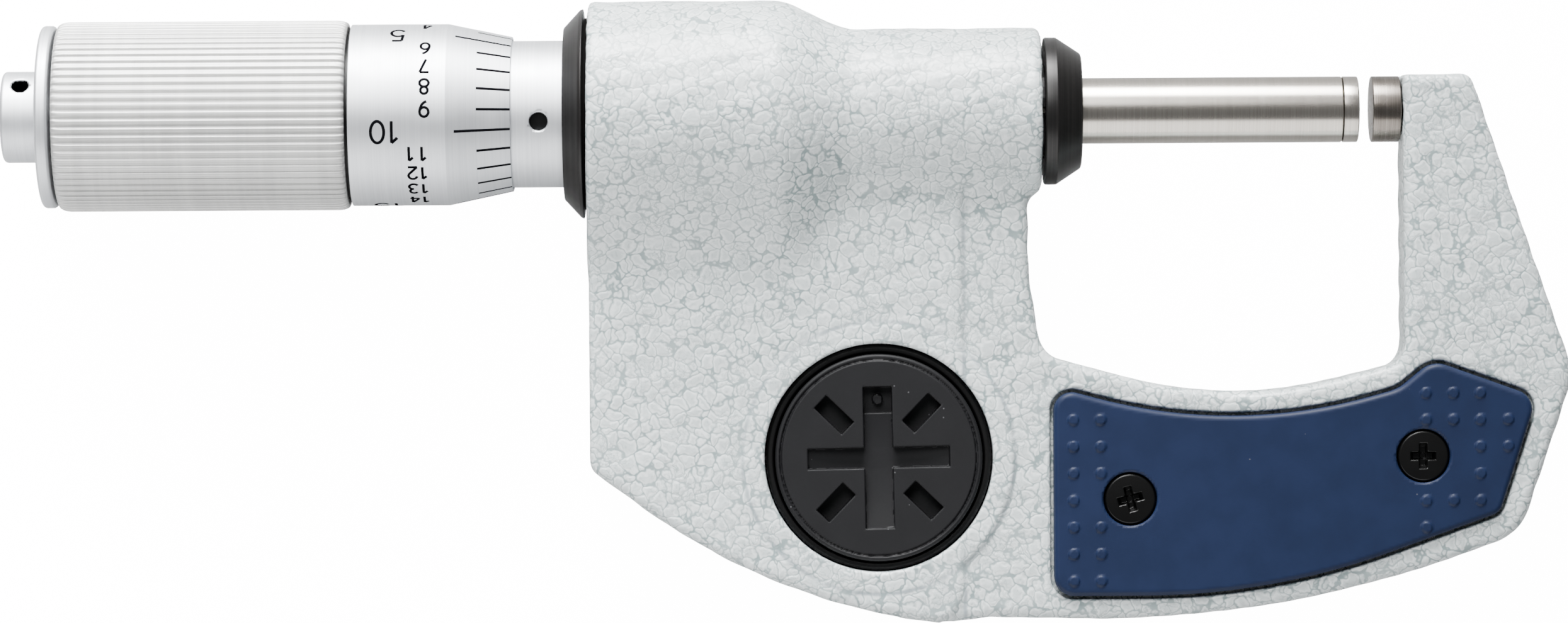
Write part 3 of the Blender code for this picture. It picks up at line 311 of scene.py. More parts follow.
navy_plastic = moulded("navy_plastic", (0.0075, 0.0146, 0.0440), 0.48, dust=0.012, Specular_IOR_Level=0.2)
dark_plastic = moulded("dark_plastic", (0.0055, 0.0056, 0.0066), 0.55, dust=0.10, Specular_IOR_Level=0.25)
black_plastic = moulded("black_plastic", (0.002, 0.002, 0.0022), 0.4, Specular_IOR_Level=0.25)
grey_plastic = moulded("grey_plastic", (0.32, 0.33, 0.34), 0.45)
rubber = moulded("rubber", (0.02, 0.02, 0.02), 0.7)
board = moulded("board", (0.02, 0.14, 0.06), 0.4)
lcd = moulded("lcd", (0.30, 0.34, 0.29), 0.25, depth=2e-6)
engraving = moulded("engraving", (0.004, 0.004, 0.005), 0.8, Specular_IOR_Level=0.0)
clear_window = finish("clear_window", (0.9, 0.93, 0.93), 0.0, 0.05, Transmission_Weight=0.9, IOR=1.49)[0]
screw_black = moulded("screw_black", (0.003, 0.003, 0.003), 0.25, dust=0.02, depth=4e-6,
                      Specular_IOR_Level=0.25)
FINISHES = {"enamel": enamel, "ground_steel": ground_steel, "carbide": carbide, "black_steel": black_steel,
            "satin_chrome": satin_chrome, "brass": brass, "navy_plastic": navy_plastic,
            "black_plastic": black_plastic, "dark_plastic": dark_plastic, "grey_plastic": grey_plastic,
            "board": board, "lcd": lcd, "clear_window": clear_window, "rubber": rubber, "nickel": nickel}
for row in frame["record"]["subparts"]:
    node = frame["nodes"][row["node"]]
    node.data.materials.clear()
    node.data.materials.append(FINISHES[row["material_slot"]])
for hidden in ("inner_sleeve", "lock_collet"):
    frame["nodes"][hidden].data.materials[0] = black_plastic
print(len(bpy.data.materials), "materials")

# %% [markdown]
# ## Shapes
# Three ways of making a surface cover the whole tool. A turned piece is a profile swept round the spindle or
# round an upright axis. A wrapped mark is a flat drawing rolled onto the thimble. A cast or milled piece is
# the place where a distance function of (x, y, z) is zero; smooth minimum and maximum of distances give the
# fillets that a casting has, and a net of small cells finds the surface.

# %% Put a mesh in the scene
def put(name, points, quads, material, body, *nodes, normals=None, tidy=False):
    """A mesh from points in millimetres and four-cornered faces; it rides on a body and stands for nodes."""
    mesh = bpy.data.meshes.new(name)
    mesh.vertices.add(len(points))
    mesh.vertices.foreach_set("co", (points * MM + HOME).astype(np.float32).ravel())
    mesh.loops.add(quads.size)
    mesh.loops.foreach_set("vertex_index", quads.astype(np.int32).ravel())
    mesh.polygons.add(len(quads))
    mesh.polygons.foreach_set("loop_start", np.arange(0, quads.size, quads.shape[1], dtype=np.int32))
    mesh.update(calc_edges=True)
    if tidy:
        work = bmesh.new()
        work.from_mesh(mesh)
        bmesh.ops.remove_doubles(work, verts=work.verts, dist=1e-7)
        bmesh.ops.recalc_face_normals(work, faces=work.faces)
        work.to_mesh(mesh)
        work.free()
    mesh.polygons.foreach_set("use_smooth", np.ones(len(mesh.polygons), dtype=bool))
    if normals is not None:
        mesh.normals_split_custom_set_from_vertices(normals.tolist())
    mesh.materials.append(material)
    piece = bpy.data.objects.new(name, mesh)
    bpy.context.scene.collection.objects.link(piece)
    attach(piece, body)
    if nodes:
        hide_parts(*nodes)
    print("%-22s %7d faces on %s" % (name, len(mesh.polygons), body))
    return piece


def darken(piece, where):
    """Paints black the faces of a piece whose middle, in millimetres, passes a test: painted shade."""
    middles = np.zeros(3 * len(piece.data.polygons))
    piece.data.polygons.foreach_get("center", middles)
    x, y, z = ((middles.reshape(-1, 3) - HOME) / MM).T
    piece.data.materials.append(black_plastic)
    piece.data.polygons.foreach_set("material_index", np.where(where(x, y, z), 1, 0).astype(np.int32))


# %% Outlines with rounded corners
def rounded(corners, slack=0.008):
    """Closed outline through corners (u, v, radius): each becomes an arc that touches both its sides."""
    spots = np.array([c[:2] for c in corners], float)
    path = []
    for here, before, after, corner in zip(spots, np.roll(spots, 1, 0), np.roll(spots, -1, 0), corners):
        into, out = before - here, after - here
        into, out = into / np.hypot(*into), out / np.hypot(*out)
        radius = corner[2]
        if radius == 0:
            path.append(here[None])
            continue
        half = math.acos(max(-1.0, min(1.0, float(into @ out)))) / 2
        middle = here + (into + out) / np.hypot(*(into + out)) * radius / math.sin(half)
        first = here + into * radius / math.tan(half) - middle
        last = here + out * radius / math.tan(half) - middle
        sweep = math.atan2(first[0] * last[1] - first[1] * last[0], float(first @ last))
        count = max(3, int(abs(sweep) / min(0.2, math.sqrt(8 * slack / radius))) + 2)
        angle = math.atan2(first[1], first[0]) + np.linspace(0, sweep, count)
        path.append(middle + radius * np.stack([np.cos(angle), np.sin(angle)], 1))
    return np.concatenate(path)


def grown(corners, by):
    """The same corners with every side moved out by a distance; corner radii follow."""
    spots = np.array([c[:2] for c in corners], float)
    area = np.sum(spots[:, 0] * np.roll(spots[:, 1], -1) - spots[:, 1] * np.roll(spots[:, 0], -1))
    side = np.roll(spots, -1, 0) - spots
    normal = np.stack([side[:, 1], -side[:, 0]], 1) * np.sign(area) / np.hypot(*side.T)[:, None]
    before = np.roll(normal, 1, 0)
    moved = spots + by * (normal + before) / (1 + np.sum(normal * before, 1))[:, None]
    back = np.roll(side, 1, 0)
    convex = (back[:, 0] * side[:, 1] - back[:, 1] * side[:, 0]) * np.sign(area) > 0
    return [(p[0], p[1], max(0.2, c[2] + (by if out else -by))) for p, c, out in zip(moved, corners, convex)]


# %% Turned pieces
def turned(name, profile, material, body, *nodes, axis="X", at=(0.0, 0.0), sides=192):
    """Profile points (u, r) swept round an axis to (u, r cos a, r sin a), closed both ways."""
    u, r = np.asarray(profile, float).T
    a = np.linspace(0, 2 * np.pi, sides, endpoint=False)
    shape = (len(u), sides)
    along, one, two = np.broadcast_to(u[:, None], shape), np.outer(r, np.cos(a)), np.outer(r, np.sin(a))
    stack = (along, one, two) if axis == "X" else (one + at[0], two + at[1], along)
    points = np.stack(stack, -1).reshape(-1, 3)
    row, col = np.meshgrid(np.arange(len(u)), np.arange(sides), indexing="ij")
    next_row, next_col = (row + 1) % len(u), (col + 1) % sides
    quads = np.stack([row * sides + col, next_row * sides + col, next_row * sides + next_col,
                      row * sides + next_col], -1).reshape(-1, 4)
    piece = put(name, points, quads, material, body, *nodes, tidy=True)
    weight = piece.modifiers.new("even_normals", "WEIGHTED_NORMAL")
    weight.weight = 80
    return piece


# %% Distances for cast and milled pieces
def flat_gap(outline, x, y):
    """Distance in the plane to a closed outline: the least distance to any side, negative inside."""
    least = np.full(np.broadcast(x, y).shape, 1e9)
    inside = np.zeros(least.shape, bool)
    for (ax, ay), (bx, by) in zip(outline, np.roll(outline, -1, 0)):
        ex, ey = bx - ax, by - ay
        wx, wy = x - ax, y - ay
        share = np.clip((wx * ex + wy * ey) / (ex * ex + ey * ey + 1e-12), 0, 1)
        least = np.minimum(least, (wx - ex * share) ** 2 + (wy - ey * share) ** 2)
        if ey:
            inside ^= ((ay > y) != (by > y)) & (wx < ex * wy / ey)
    return np.where(inside, -1.0, 1.0) * np.sqrt(least)


def thick(d, z, low, high, edge):
    """A plane distance d given depth from low to high, with its edges rounded to a radius."""
    a, b = d + edge, np.abs(z - (low + high) / 2) - (high - low) / 2 + edge
    return np.minimum(np.maximum(a, b), 0) + np.hypot(np.maximum(a, 0), np.maximum(b, 0)) - edge


def joined(a, b, fillet):
    """Smooth minimum: both solids together, with a fillet where they meet."""
    near = np.maximum(fillet - np.abs(a - b), 0) / fillet
    return np.minimum(a, b) - near * near * fillet / 4


def cut(a, b, fillet=0.25):
    """Solid a without solid b, with the new edge slightly rounded."""
    return -joined(-a, b, fillet)


def cast(name, shape, low, high, cell, material, body, *nodes):
    """Net of cells over the zero of a distance function; corners are then pulled onto it along its slope."""
    xs, ys, zs = (np.arange(a, b + cell, cell) for a, b in zip(low, high))
    field = shape(xs[:, None, None], ys[None, :, None], zs[None, None, :])
    solid = field < 0
    size = np.array(field.shape) - 1
    bits = list(itertools.product((0, 1), repeat=3))
    filled = sum(solid[i:size[0] + i, j:size[1] + j, k:size[2] + k].astype(np.int8) for i, j, k in bits)
    active = (filled > 0) & (filled < 8)
    number = np.full(active.shape, -1)
    number[active] = np.arange(active.sum())
    cells = np.argwhere(active)
    total, count = np.zeros(cells.shape), np.zeros(len(cells))
    for p, q in itertools.combinations(bits, 2):
        if sum(abs(a - b) for a, b in zip(p, q)) != 1:
            continue
        fp, fq = field[tuple((cells + p).T)], field[tuple((cells + q).T)]
        crosses = (fp < 0) != (fq < 0)
        share = np.where(crosses, fp / np.where(crosses, fp - fq, 1), 0)
        total += crosses[:, None] * (np.array(p) + share[:, None] * (np.array(q) - np.array(p)))
        count += crosses
    points = np.array(low) + cell * (cells + total / count[:, None])
    quads = []
    for axis in range(3):
        one, two = (axis + 1) % 3, (axis + 2) % 3
        step = np.eye(3, dtype=int)
        first = np.take(solid, range(size[axis]), axis)
        second = np.take(solid, range(1, size[axis] + 1), axis)
        spots = np.argwhere(first != second)
        within = [(spots[:, side] > 0) & (spots[:, side] < size[side]) for side in (one, two)]
        spots = spots[within[0] & within[1]]
        around = (step[one] + step[two], step[two], 0 * step[one], step[one])
        ring = np.stack([number[tuple((spots - back).T)] for back in around], 1)
        outward = first[tuple(spots.T)]
        quads.append(np.where(outward[:, None], ring, ring[:, ::-1]))
    quads = np.concatenate(quads)
    h = 0.02
    for _ in range(3):
        x, y, z = points.T
        here = shape(x, y, z)
        slope = np.stack([shape(x + h, y, z) - shape(x - h, y, z), shape(x, y + h, z) - shape(x, y - h, z),
                          shape(x, y, z + h) - shape(x, y, z - h)], 1) / (2 * h)
        length = np.maximum(np.sum(slope * slope, 1), 0.05)
        points = points - np.clip(here / length, -cell / 2, cell / 2)[:, None] * slope
    normals = slope / np.linalg.norm(slope, axis=1)[:, None].clip(1e-6)
    return put(name, points, quads, material, body, *nodes, normals=normals)


# %% [markdown]
# ## The frame
# One casting: a flat bow, a deeper body with a round boss for the battery, and the barrel, which swells from
# a nose to full size. Where the barrel sinks into the body there is a broad fillet. The same openings as in
# the model are cut into it: the bores, the battery well, the recesses of the grip plates and the pocket for
# the display.

# %% Outlines of the casting
BACK, FRONT = 4.0, -11.0
body_line = rounded([(X_BODY, 6.4, 0.8), (X_BODY, -34.2, 2.0), (-57.27, -47.38, 60.0), (X_STEP, -49.5, 3.0),
                     (X_STEP, 6.4, 0.8)])
bow_line = rounded([(9.34, 3.25, 1.2), (19.12, -25.6, 5.7), (13.87, -40.95, 5.0), (-9.24, -49.4, 106.0),
                    (X_STEP + 2.4, -48.66, 5.0), (X_STEP - 1.2, -49.12, 0), (-45.47, -48.5, 0),
                    (-45.47, -5.0, 0), (-35.27, -3.0, 0), (X_WALL, -3.0, 0),
                    (X_WALL, -15.5, 25.0), (-32.02, -23.5, 3.0), (-13.6, -28.47, 41.0), (2.85, -24.39, 2.2),
                    (2.85, 3.25, 0.3)])
PLATE = [(-30.95, -26.55, 1.8), (-13.6, -31.3, 50.0), (2.15, -26.95, 4.0), (5.45, -24.25, 2.4),
         (15.45, -27.85, 1.9), (11.85, -38.85, 1.5), (-9.95, -46.66, 70.0), (-30.95, -46.66, 1.9)]
plate_hole = rounded(grown(PLATE, 0.3))
pocket_line = rounded([(-73.17, -12.6, 1.5), (-73.17, -30.6, 1.5), (-55.57, -41.88, 1.5),
                       (-41.87, -44.4, 1.5), (-41.87, -12.6, 1.5)])
PLATE_SCREWS = ((-23.64, -37.36), (4.46, -33.4))
COVER_SCREWS = ((-72.57, 3.6), (-42.47, 3.6), (-71.87, -33.6), (-42.87, -46.1))


# %% The casting as a distance
BOW_HALF, BOSS_R, WELL_R, SEAT_R = 3.6, 13.05, 10.95, 6.5
NOSE_R, SWELL, SWELL_X, SWELL_LENGTH = 8.03, 2.77, -49.6, 8.2
LUMP = 0.03


def casting(x, y, z):
    """Bow, body and boss as thick outlines, joined to a barrel whose radius eases from nose to full size."""
    bow = thick(flat_gap(bow_line, x, y), z, -BOW_HALF, BOW_HALF, 1.0)
    body = thick(flat_gap(body_line, x, y), z, FRONT, BACK, 0.8)
    boss = thick(np.hypot(x - WELL[0], y - WELL[1]) - BOSS_R, z, -9.0, BACK - 0.02, 0.5)
    base = joined(joined(body, boss, 0.4), bow, 0.5)
    share = np.clip((SWELL_X - x) / SWELL_LENGTH, 0, 1)
    ease = share * share * (3 - 2 * share)
    slant = np.sqrt(1 + (SWELL * 6 * share * (1 - share) / SWELL_LENGTH) ** 2)
    round_gap = (np.hypot(y, z) - NOSE_R - SWELL * ease) / slant
    barrel = thick(round_gap, x, X_BODY, X_NOSE, 0.8)
    fillet = (1.6 + 5.4 * ease) * np.clip((z + 2) / 3, 0.05, 1)
    whole = np.minimum(joined(barrel, np.maximum(base, y + 3.0), fillet), base)
    whole = cut(whole, x - X_BODY, 0.6)
    lumps = np.sin(1.3 * x + 0.8 * y) * np.sin(0.9 * y - 1.1 * z + 0.7 * x)
    lumps = lumps + np.sin(2.1 * z + 0.6 * x - 1.7 * y)
    whole = whole + LUMP * lumps
    axial = np.hypot(y, z)
    holes = np.maximum(axial - 9.4, x + 61.57)
    holes = np.minimum(holes, np.maximum(axial - 4.6, -x - 63.0))
    holes = np.where(x > -20.0, 1e3, holes)
    holes = np.minimum(holes, np.maximum(axial - 2.35, np.abs(x - 5.5) - 3.65))
    whole = cut(whole, holes)
    well = np.hypot(x - WELL[0], y - WELL[1])
    whole = cut(whole, np.maximum(well - WELL_R, -0.1 - z))
    whole = cut(whole, np.maximum(well - SEAT_R, -4.9 - z))
    recess = flat_gap(plate_hole, x, y)
    whole = cut(whole, np.maximum(recess, 2.3 - np.abs(z)), 0.35)
    whole = cut(whole, np.maximum(flat_gap(pocket_line, x, y), z + 6.6))
    for px, py in PLATE_SCREWS:
        whole = cut(whole, np.hypot(x - px, y - py) - 2.45 + 0 * z)
    for px, py in COVER_SCREWS:
        whole = cut(whole, np.maximum(np.hypot(x - px, y - py) - 0.9, z - FRONT - 1.6))
    return whole


cast("frame_casting", casting, (-76.4, -51.0, -12.0), (20.4, 11.8, 11.8), 0.36, enamel, "frame", "frame")

# %% [markdown]
# ## Spindle, anvil and lock
# The spindle is a ground rod with a keyway that the encoder's rotor follows, so it is milled from distances;
# its thread is drawn at full diameter. The tip, the anvil and the lock ring are plain turned pieces with
# softened edges, and the ring's cone leads down to the spindle.

# %% Spindle and anvil
SPINDLE_R = 3.175
KEY_BEFORE, KEY_AFTER = 1.71, 24.49
key_low, key_high = (np.array(c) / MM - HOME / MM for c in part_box("rotor_key"))
KEY_MID = (key_low[0] - KEY_BEFORE + key_high[0] + KEY_AFTER) / 2
KEY_HALF = (key_high[0] + KEY_AFTER - key_low[0] + KEY_BEFORE) / 2


def rod_gap(x, radial, low, high, radius, edge=0.1):
    """A round bar on the spindle's axis between two places."""
    return thick(radial - radius, x, low, high, edge)


def spindle_shape(x, y, z):
    """Three bars end to end, less a keyway on the back and a stud hole in the tail."""
    radial = np.hypot(y, z)
    bar = rod_gap(x, radial, -80.0, -2.78, SPINDLE_R, 0.05)
    bar = np.minimum(bar, rod_gap(x, radial, -112.62, -75.77, 3.45))
    bar = np.minimum(bar, rod_gap(x, radial, -118.02, -110.0, 2.6))
    bar = cut(bar, np.maximum(radial - 1.45, np.abs(x + 116.0) - 2.78), 0.1)
    keyway = np.maximum(np.maximum(np.abs(y) - 0.65, 2.275 - z), np.abs(x - KEY_MID) - KEY_HALF)
    return cut(bar, keyway, 0.1)


cast("spindle_bar", spindle_shape, (-118.6, -3.9, -3.9), (-2.2, 3.9, 3.9), 0.3, ground_steel, "spindle",
     "spindle")
turned("spindle_face", rounded([(-2.76, 0, 0), (-2.76, SPINDLE_R, 0.04), (-1.31, SPINDLE_R, 0.12),
                                (-1.31, 0, 0)]), lapped_steel, "spindle", "spindle_tip")
turned("anvil_pin", rounded([(0, 0, 0), (0, SPINDLE_R, 0.12), (2.7, SPINDLE_R, 0.1), (2.7, 2.2, 0),
                             (8.85, 2.2, 0.1), (8.85, 0, 0)]), carbide, "frame", "anvil")

# %% Lock ring and collar
turned("lock_cone", rounded([(-31.60, 4.6, 0), (-31.60, 7.1, 0.22), (-30.40, 7.1, 0.25), (-27.98, 5.5, 0.45),
                             (-27.98, 3.33, 0.1), (-29.08, 3.33, 0), (-29.08, 4.6, 0)]),
       black_steel, "lock_ring", "lock_ring")
turned("collar", rounded([(-77.77, 7.23, 0), (-77.77, 8.3, 0.2), (-76.2, 10.0, 0.25), (-75.87, 10.15, 0.08),
                          (-75.87, 9.25, 0), (-74.57, 9.25, 0), (-74.57, 7.23, 0)]),
       black_steel, "frame", "sleeve_collar")

# %% [markdown]
# ## Sleeve, thimble, grip and end cap
# All satin chrome. The sleeve has a small hole for a spanner, so it is milled from distances, and so is the
# end cap with its cross hole. The grip is a tube whose radius follows a wave of 72 ridges, eased away at both
# ends. The thimble's marks and numbers are strokes, each a thin strip rolled onto its cone or cylinder.

# %% Sleeve
def sleeve_shape(x, y, z):
    """A tube with a round hole through its back wall."""
    tube = thick(np.abs(np.hypot(y, z) - 6.815) - 0.265, x, -109.67, -74.87, 0.05)
    return cut(tube, np.maximum(np.hypot(x + 80.04, y + 0.9) - 0.875, -z), 0.12)


cast("plain_sleeve", sleeve_shape, (-110.2, -7.6, -7.6), (-74.3, 7.6, 7.6), 0.26, satin_chrome, "frame",
     "sleeve")

# %% Thimble
X_TIP, X_CONE, X_NECK, X_TAIL, X_WEB = -82.70, -88.85, -98.20, -116.22, -113.52
TIP_R, DRUM_R, NECK_R, BORE_R, STUD_R = 7.45, 8.75, 8.0, 7.23, 2.75
thimble = turned("thimble_shell", rounded([
    (X_TIP, BORE_R, 0), (X_TIP, TIP_R, 0.08), (X_CONE, DRUM_R, 0.3), (X_NECK, DRUM_R, 0.12),
    (X_NECK, NECK_R, 0), (X_TAIL, NECK_R, 0.2), (X_TAIL, STUD_R, 0), (X_WEB, STUD_R, 0), (X_WEB, BORE_R, 0)]),
    satin_chrome, "spindle", "thimble", sides=256)
# The thimble's faces behind the neck, seen in the gap under the grip, are painted black as painted shade.
darken(thimble, lambda x, y, z: (x < X_NECK + 0.05) & (np.hypot(y, z) < DRUM_R - 0.05))


def cone_radius(x):
    """Radius of the thimble's outside at a place along it."""
    return np.interp(-x, [-X_TIP, -X_CONE], [TIP_R, DRUM_R])


# %% Numbers drawn as strokes
def arc(cx, cy, rx, ry, start, end):
    """Points along part of an ellipse; angles in degrees."""
    a = np.radians(np.linspace(start, end, 25))
    return np.stack([cx + rx * np.cos(a), cy + ry * np.sin(a)], 1)


six = [arc(0.3, 0.31, 0.29, 0.31, 0, 360),
       np.array([(0.01, 0.31), (0.04, 0.53), (0.15, 0.78), (0.29, 0.93), (0.46, 1.0)])]
STROKES = {"0": [arc(0.3, 0.5, 0.3, 0.5, 0, 360)], "1": [[(0.5, 0), (0.5, 1)], [(0.5, 1), (0.24, 0.76)]],
           "2": [np.vstack([arc(0.3, 0.71, 0.28, 0.29, 170, -35), [(0.02, 0.0)]]), [(0.0, 0.0), (0.6, 0.0)]],
           "3": [arc(0.29, 0.75, 0.25, 0.25, 150, -90), arc(0.29, 0.26, 0.3, 0.26, 90, -150)],
           "4": [[(0.44, 0), (0.44, 1)], [(0.44, 1), (0.0, 0.27)], [(0.0, 0.27), (0.6, 0.27)]],
           "5": [[(0.54, 1), (0.1, 1)], [(0.1, 1), (0.05, 0.5)], arc(0.28, 0.32, 0.31, 0.32, 140, -150)],
           "6": six, "7": [[(0, 1), (0.6, 1)], [(0.6, 1), (0.2, 0)]],
           "8": [arc(0.3, 0.76, 0.24, 0.24, 0, 360), arc(0.3, 0.26, 0.3, 0.26, 0, 360)],
           "9": [(0.6, 1.0) - stroke for stroke in six]}


def ribbon(path, half, lean):
    """A thin closed strip along a path of (place along the axis, arc length), rolled onto the thimble."""
    path = np.asarray(path, float)
    length = np.concatenate([[0.0], np.cumsum(np.hypot(*np.diff(path, axis=0).T))])
    at = np.linspace(-0.6 * half, length[-1] + 0.6 * half, max(3, int(length[-1] / 0.12)))
    path = np.stack([np.interp(at, length, path[:, k]) for k in (0, 1)], 1)
    run = np.gradient(path, axis=0)
    side = half * np.stack([-run[:, 1], run[:, 0]], 1) / np.hypot(run[:, 0], run[:, 1])[:, None]
    edge = np.stack([path - side, path - side, path + side, path + side], 1)
    radius = cone_radius(edge[..., 0]) + np.array([-0.03, 0.012, 0.012, -0.03])
    angle = lean + edge[..., 1] / DRUM_R
    points = np.stack([edge[..., 0], -radius * np.sin(angle), radius * np.cos(angle)], -1).reshape(-1, 3)
    ring, corner = np.meshgrid(4 * np.arange(len(path) - 1), np.arange(4), indexing="ij")
    after = (corner + 1) % 4
    quads = np.stack([ring + corner, ring + 4 + corner, ring + 4 + after, ring + after], -1).reshape(-1, 4)
    ends = np.array([[0, 1, 2, 3], [3, 2, 1, 0]]) + np.array([[0], [len(points) - 4]])
    return points, np.concatenate([quads, ends])


# %% Marks and numbers on the thimble
READING, DIVISIONS = 9.13, 25
X_MARK = X_TIP - 0.04
strips = []
for n in range(DIVISIONS):
    lean = (n - READING) * 2 * np.pi / DIVISIONS
    big = n % 5 == 0
    strips.append(ribbon([(X_MARK, 0.0), (X_MARK - (5.3 if big else 3.2), 0.0)], 0.13, lean))
    tall, first = (2.12, -92.9) if big else (1.46, -90.4)
    for place_in_line, character in enumerate(str(n)):
        for stroke in STROKES[character]:
            along, up = tall * np.array(stroke).T
            path = np.stack([first - 0.84 * tall * place_in_line - along, up - tall / 2], 1)
            strips.append(ribbon(path, 0.14 if big else 0.125, lean))
starts = np.cumsum([0] + [len(points) for points, _ in strips])
put("thimble_marks", np.concatenate([points for points, _ in strips]),
    np.concatenate([quads + at for (_, quads), at in zip(strips, starts)]), engraving, "spindle", tidy=True)

# %% Grip with ridges
RIDGES, SAMPLES = 72, 12
a = np.linspace(0, 2 * np.pi, RIDGES * SAMPLES, endpoint=False)
phase = (a * RIDGES / (2 * np.pi)) % 1.0
groove = np.clip((0.30 - np.abs(phase - 0.5)) / 0.12, 0, 1)
groove = groove * groove * (3 - 2 * groove)
outer_x = np.array([-126.42, -126.36, -126.1, -125.8, -125.4, -115.0, -99.5, -99.03, -98.78, -98.56, -98.50])
outer_r = np.array([8.72, 8.86, 9.02, 9.10, 9.15, 9.15, 9.15, 9.10, 9.02, 8.90, 8.78])
ease = np.interp(outer_x, [-126.4, -125.7, -99.2, -98.53], [0.25, 1.0, 1.0, 0.6])
outer = outer_r[:, None] - 0.24 * ease[:, None] * groove[None]
inner_x = np.array([-98.50, -126.42])
radius = np.concatenate([outer, np.full((2, len(a)), 8.15)])
along = np.concatenate([outer_x, inner_x])[:, None] + 0 * a
points = np.stack([along, radius * np.cos(a), radius * np.sin(a)], -1).reshape(-1, 3)
row, col = np.meshgrid(np.arange(len(radius)), np.arange(len(a)), indexing="ij")
down, over = (row + 1) % len(radius), (col + 1) % len(a)
quads = np.stack([row * len(a) + col, down * len(a) + col, down * len(a) + over, row * len(a) + over], -1)
put("ratchet_grip", points, quads.reshape(-1, 4), grip_chrome, "grip", "grip", tidy=True)


# %% End cap
def end_cap_shape(x, y, z):
    """Flange, nub and the screw behind them, with a hole bored into the nub at a slant."""
    radial = np.hypot(y, z)
    cap = rod_gap(x, radial, -128.02, -126.72, 8.8, 0.35)
    cap = joined(cap, rod_gap(x, radial, -131.82, -127.5, 4.4, 0.4), 0.3)
    cap = np.minimum(cap, rod_gap(x, radial, -127.5, -118.32, 2.6))
    cap = np.minimum(cap, rod_gap(x, radial, -119.0, -113.72, 1.3))
    return cut(cap, nub_hole(x, y, z), 0.15)


def nub_hole(x, y, z):
    """The slanted hole in the nub, a little below its rim."""
    slant = math.radians(43)
    out = y * math.sin(slant) + z * math.cos(slant)
    aside = y * math.cos(slant) - z * math.sin(slant)
    return np.maximum(np.hypot(x + 129.92, aside) - 0.825, 0.5 - out)


end_screw = cast("end_screw", end_cap_shape, (-132.4, -9.3, -9.3), (-113.2, 9.3, 9.3), 0.22, satin_chrome,
                 "spindle", "end_cap")
# The inside of the nub's hole is painted black as painted shade.
darken(end_screw, lambda x, y, z: (nub_hole(x, y, z) < 0.15) & (np.hypot(y, z) < 4.25))

# %% [markdown]
# ## Battery well
# A black plastic socket fills the well, and the cap turns in it. The cap has a coin slot and a narrower slot
# across it, both hollowed so they are deepest in the middle, and four pockets for a key.

# %% Socket
turned("cell_socket", rounded([(0.2, 6.6, 0), (0.2, 10.8, 0.2), (3.1, 10.8, 0.3), (3.1, 10.1, 0.2),
                               (0.9, 10.1, 0), (0.9, 6.6, 0)]),
       black_plastic, "frame", "battery_socket", axis="Z", at=WELL)


# %% Battery cap
CAP_TURN, CAP_BOX = 0.018, 10.4
SLOT_HALF, CROSS_HALF, SLOT_REACH = 1.365, 1.0, 6.8


def cap_shape(x, y, z):
    """A disc with a rounded rim, less a hollowed cross, four slanted pockets and the pin's deeper end."""
    u, v = x - WELL[0], y - WELL[1]
    u, v = u + CAP_TURN * v, v - CAP_TURN * u
    far = np.hypot(u, v)
    disc = thick(far - 9.95, z, 2.0, 3.9, 0.28)
    disc = cut(disc, np.abs(far - 9.42) - 0.09 + np.maximum(3.78 - z, 0), 0.15)
    disc = np.minimum(disc, thick(far - 7.95, z, 1.4, 2.4, 0.1))
    tall = np.maximum(np.maximum(np.abs(u) - SLOT_HALF, np.abs(v) - SLOT_REACH), 2.75 + 0.011 * v * v - z)
    wide = np.maximum(np.maximum(np.abs(v) - CROSS_HALF, np.abs(u) - SLOT_REACH), 2.75 + 0.011 * u * u - z)
    disc = cut(disc, np.minimum(tall, wide), 0.12)
    deep = np.maximum(np.maximum(np.abs(u) - SLOT_HALF, np.abs(v - 5.55) - 1.25), 2.3 - z)
    disc = cut(disc, deep, 0.08)
    disc = np.minimum(disc, np.maximum(np.hypot(u, v - 5.6) - 0.5, z - 3.0) + 0 * disc)
    disc = np.where(z < 1.4, np.maximum(disc, 1.4 - z), disc)
    for s, t in ((1, 1), (-1, 1), (-1, -1), (1, -1)):
        along, aside = (s * u + t * v) * math.sqrt(0.5), (t * u - s * v) * math.sqrt(0.5)
        pocket = np.maximum(np.maximum(np.abs(along - 5.94) - 1.83, np.abs(aside) - 0.84), 2.0 - z)
        disc = cut(disc, pocket, 0.1)
    return disc


cast("cell_cap", cap_shape, (WELL[0] - CAP_BOX, WELL[1] - CAP_BOX, 1.0),
     (WELL[0] + CAP_BOX, WELL[1] + CAP_BOX, 4.3), 0.17, dark_plastic, "battery_cap", "battery_cap")

# %% [markdown]
# ## Grip plates
# Blue plastic plates keep the warmth of the hand off the bow. Each has soft edges and small raised dots in
# rows at both ends; black screws hold the back one, and run into bosses on the front one.

# %% Plates with raised dots
plate_line = rounded(PLATE)
dots = [(x, -29.75 - 2.58 * k) for k in range(7) for x in (-29.05, -26.45) if not (k == 3 and x == -26.45)]
dots += [(x, -27.4) for x in (4.75, 7.35, 9.95)] + [(x, -29.95) for x in (4.75, 7.35, 9.95, 12.6)]
dots += [(9.95, -32.5), (12.6, -32.5), (9.95, -35.1)]
dots += [(4.75, -37.7), (7.35, -37.7), (9.95, -37.7), (4.75, -40.25)]


def dotted_plate(x, y, z):
    """A thick outline with soft edges and a low round button at every dot."""
    plate = thick(flat_gap(plate_line, x, y), z, 2.6, 4.4, 0.5)
    for px, py in dots:
        plate = joined(plate, thick(np.hypot(x - px, y - py) - 0.53, z, 4.0, 4.53, 0.13), 0.1)
    return plate


def rear_plate_shape(x, y, z):
    """The dotted plate with stepped holes for its screws."""
    plate = dotted_plate(x, y, z)
    for px, py in PLATE_SCREWS:
        far = np.hypot(x - px, y - py)
        plate = cut(plate, np.maximum(far - 2.57, 3.0 - z), 0.12)
        plate = cut(plate, far - 1.4 + 0 * z, 0.12)
    return plate


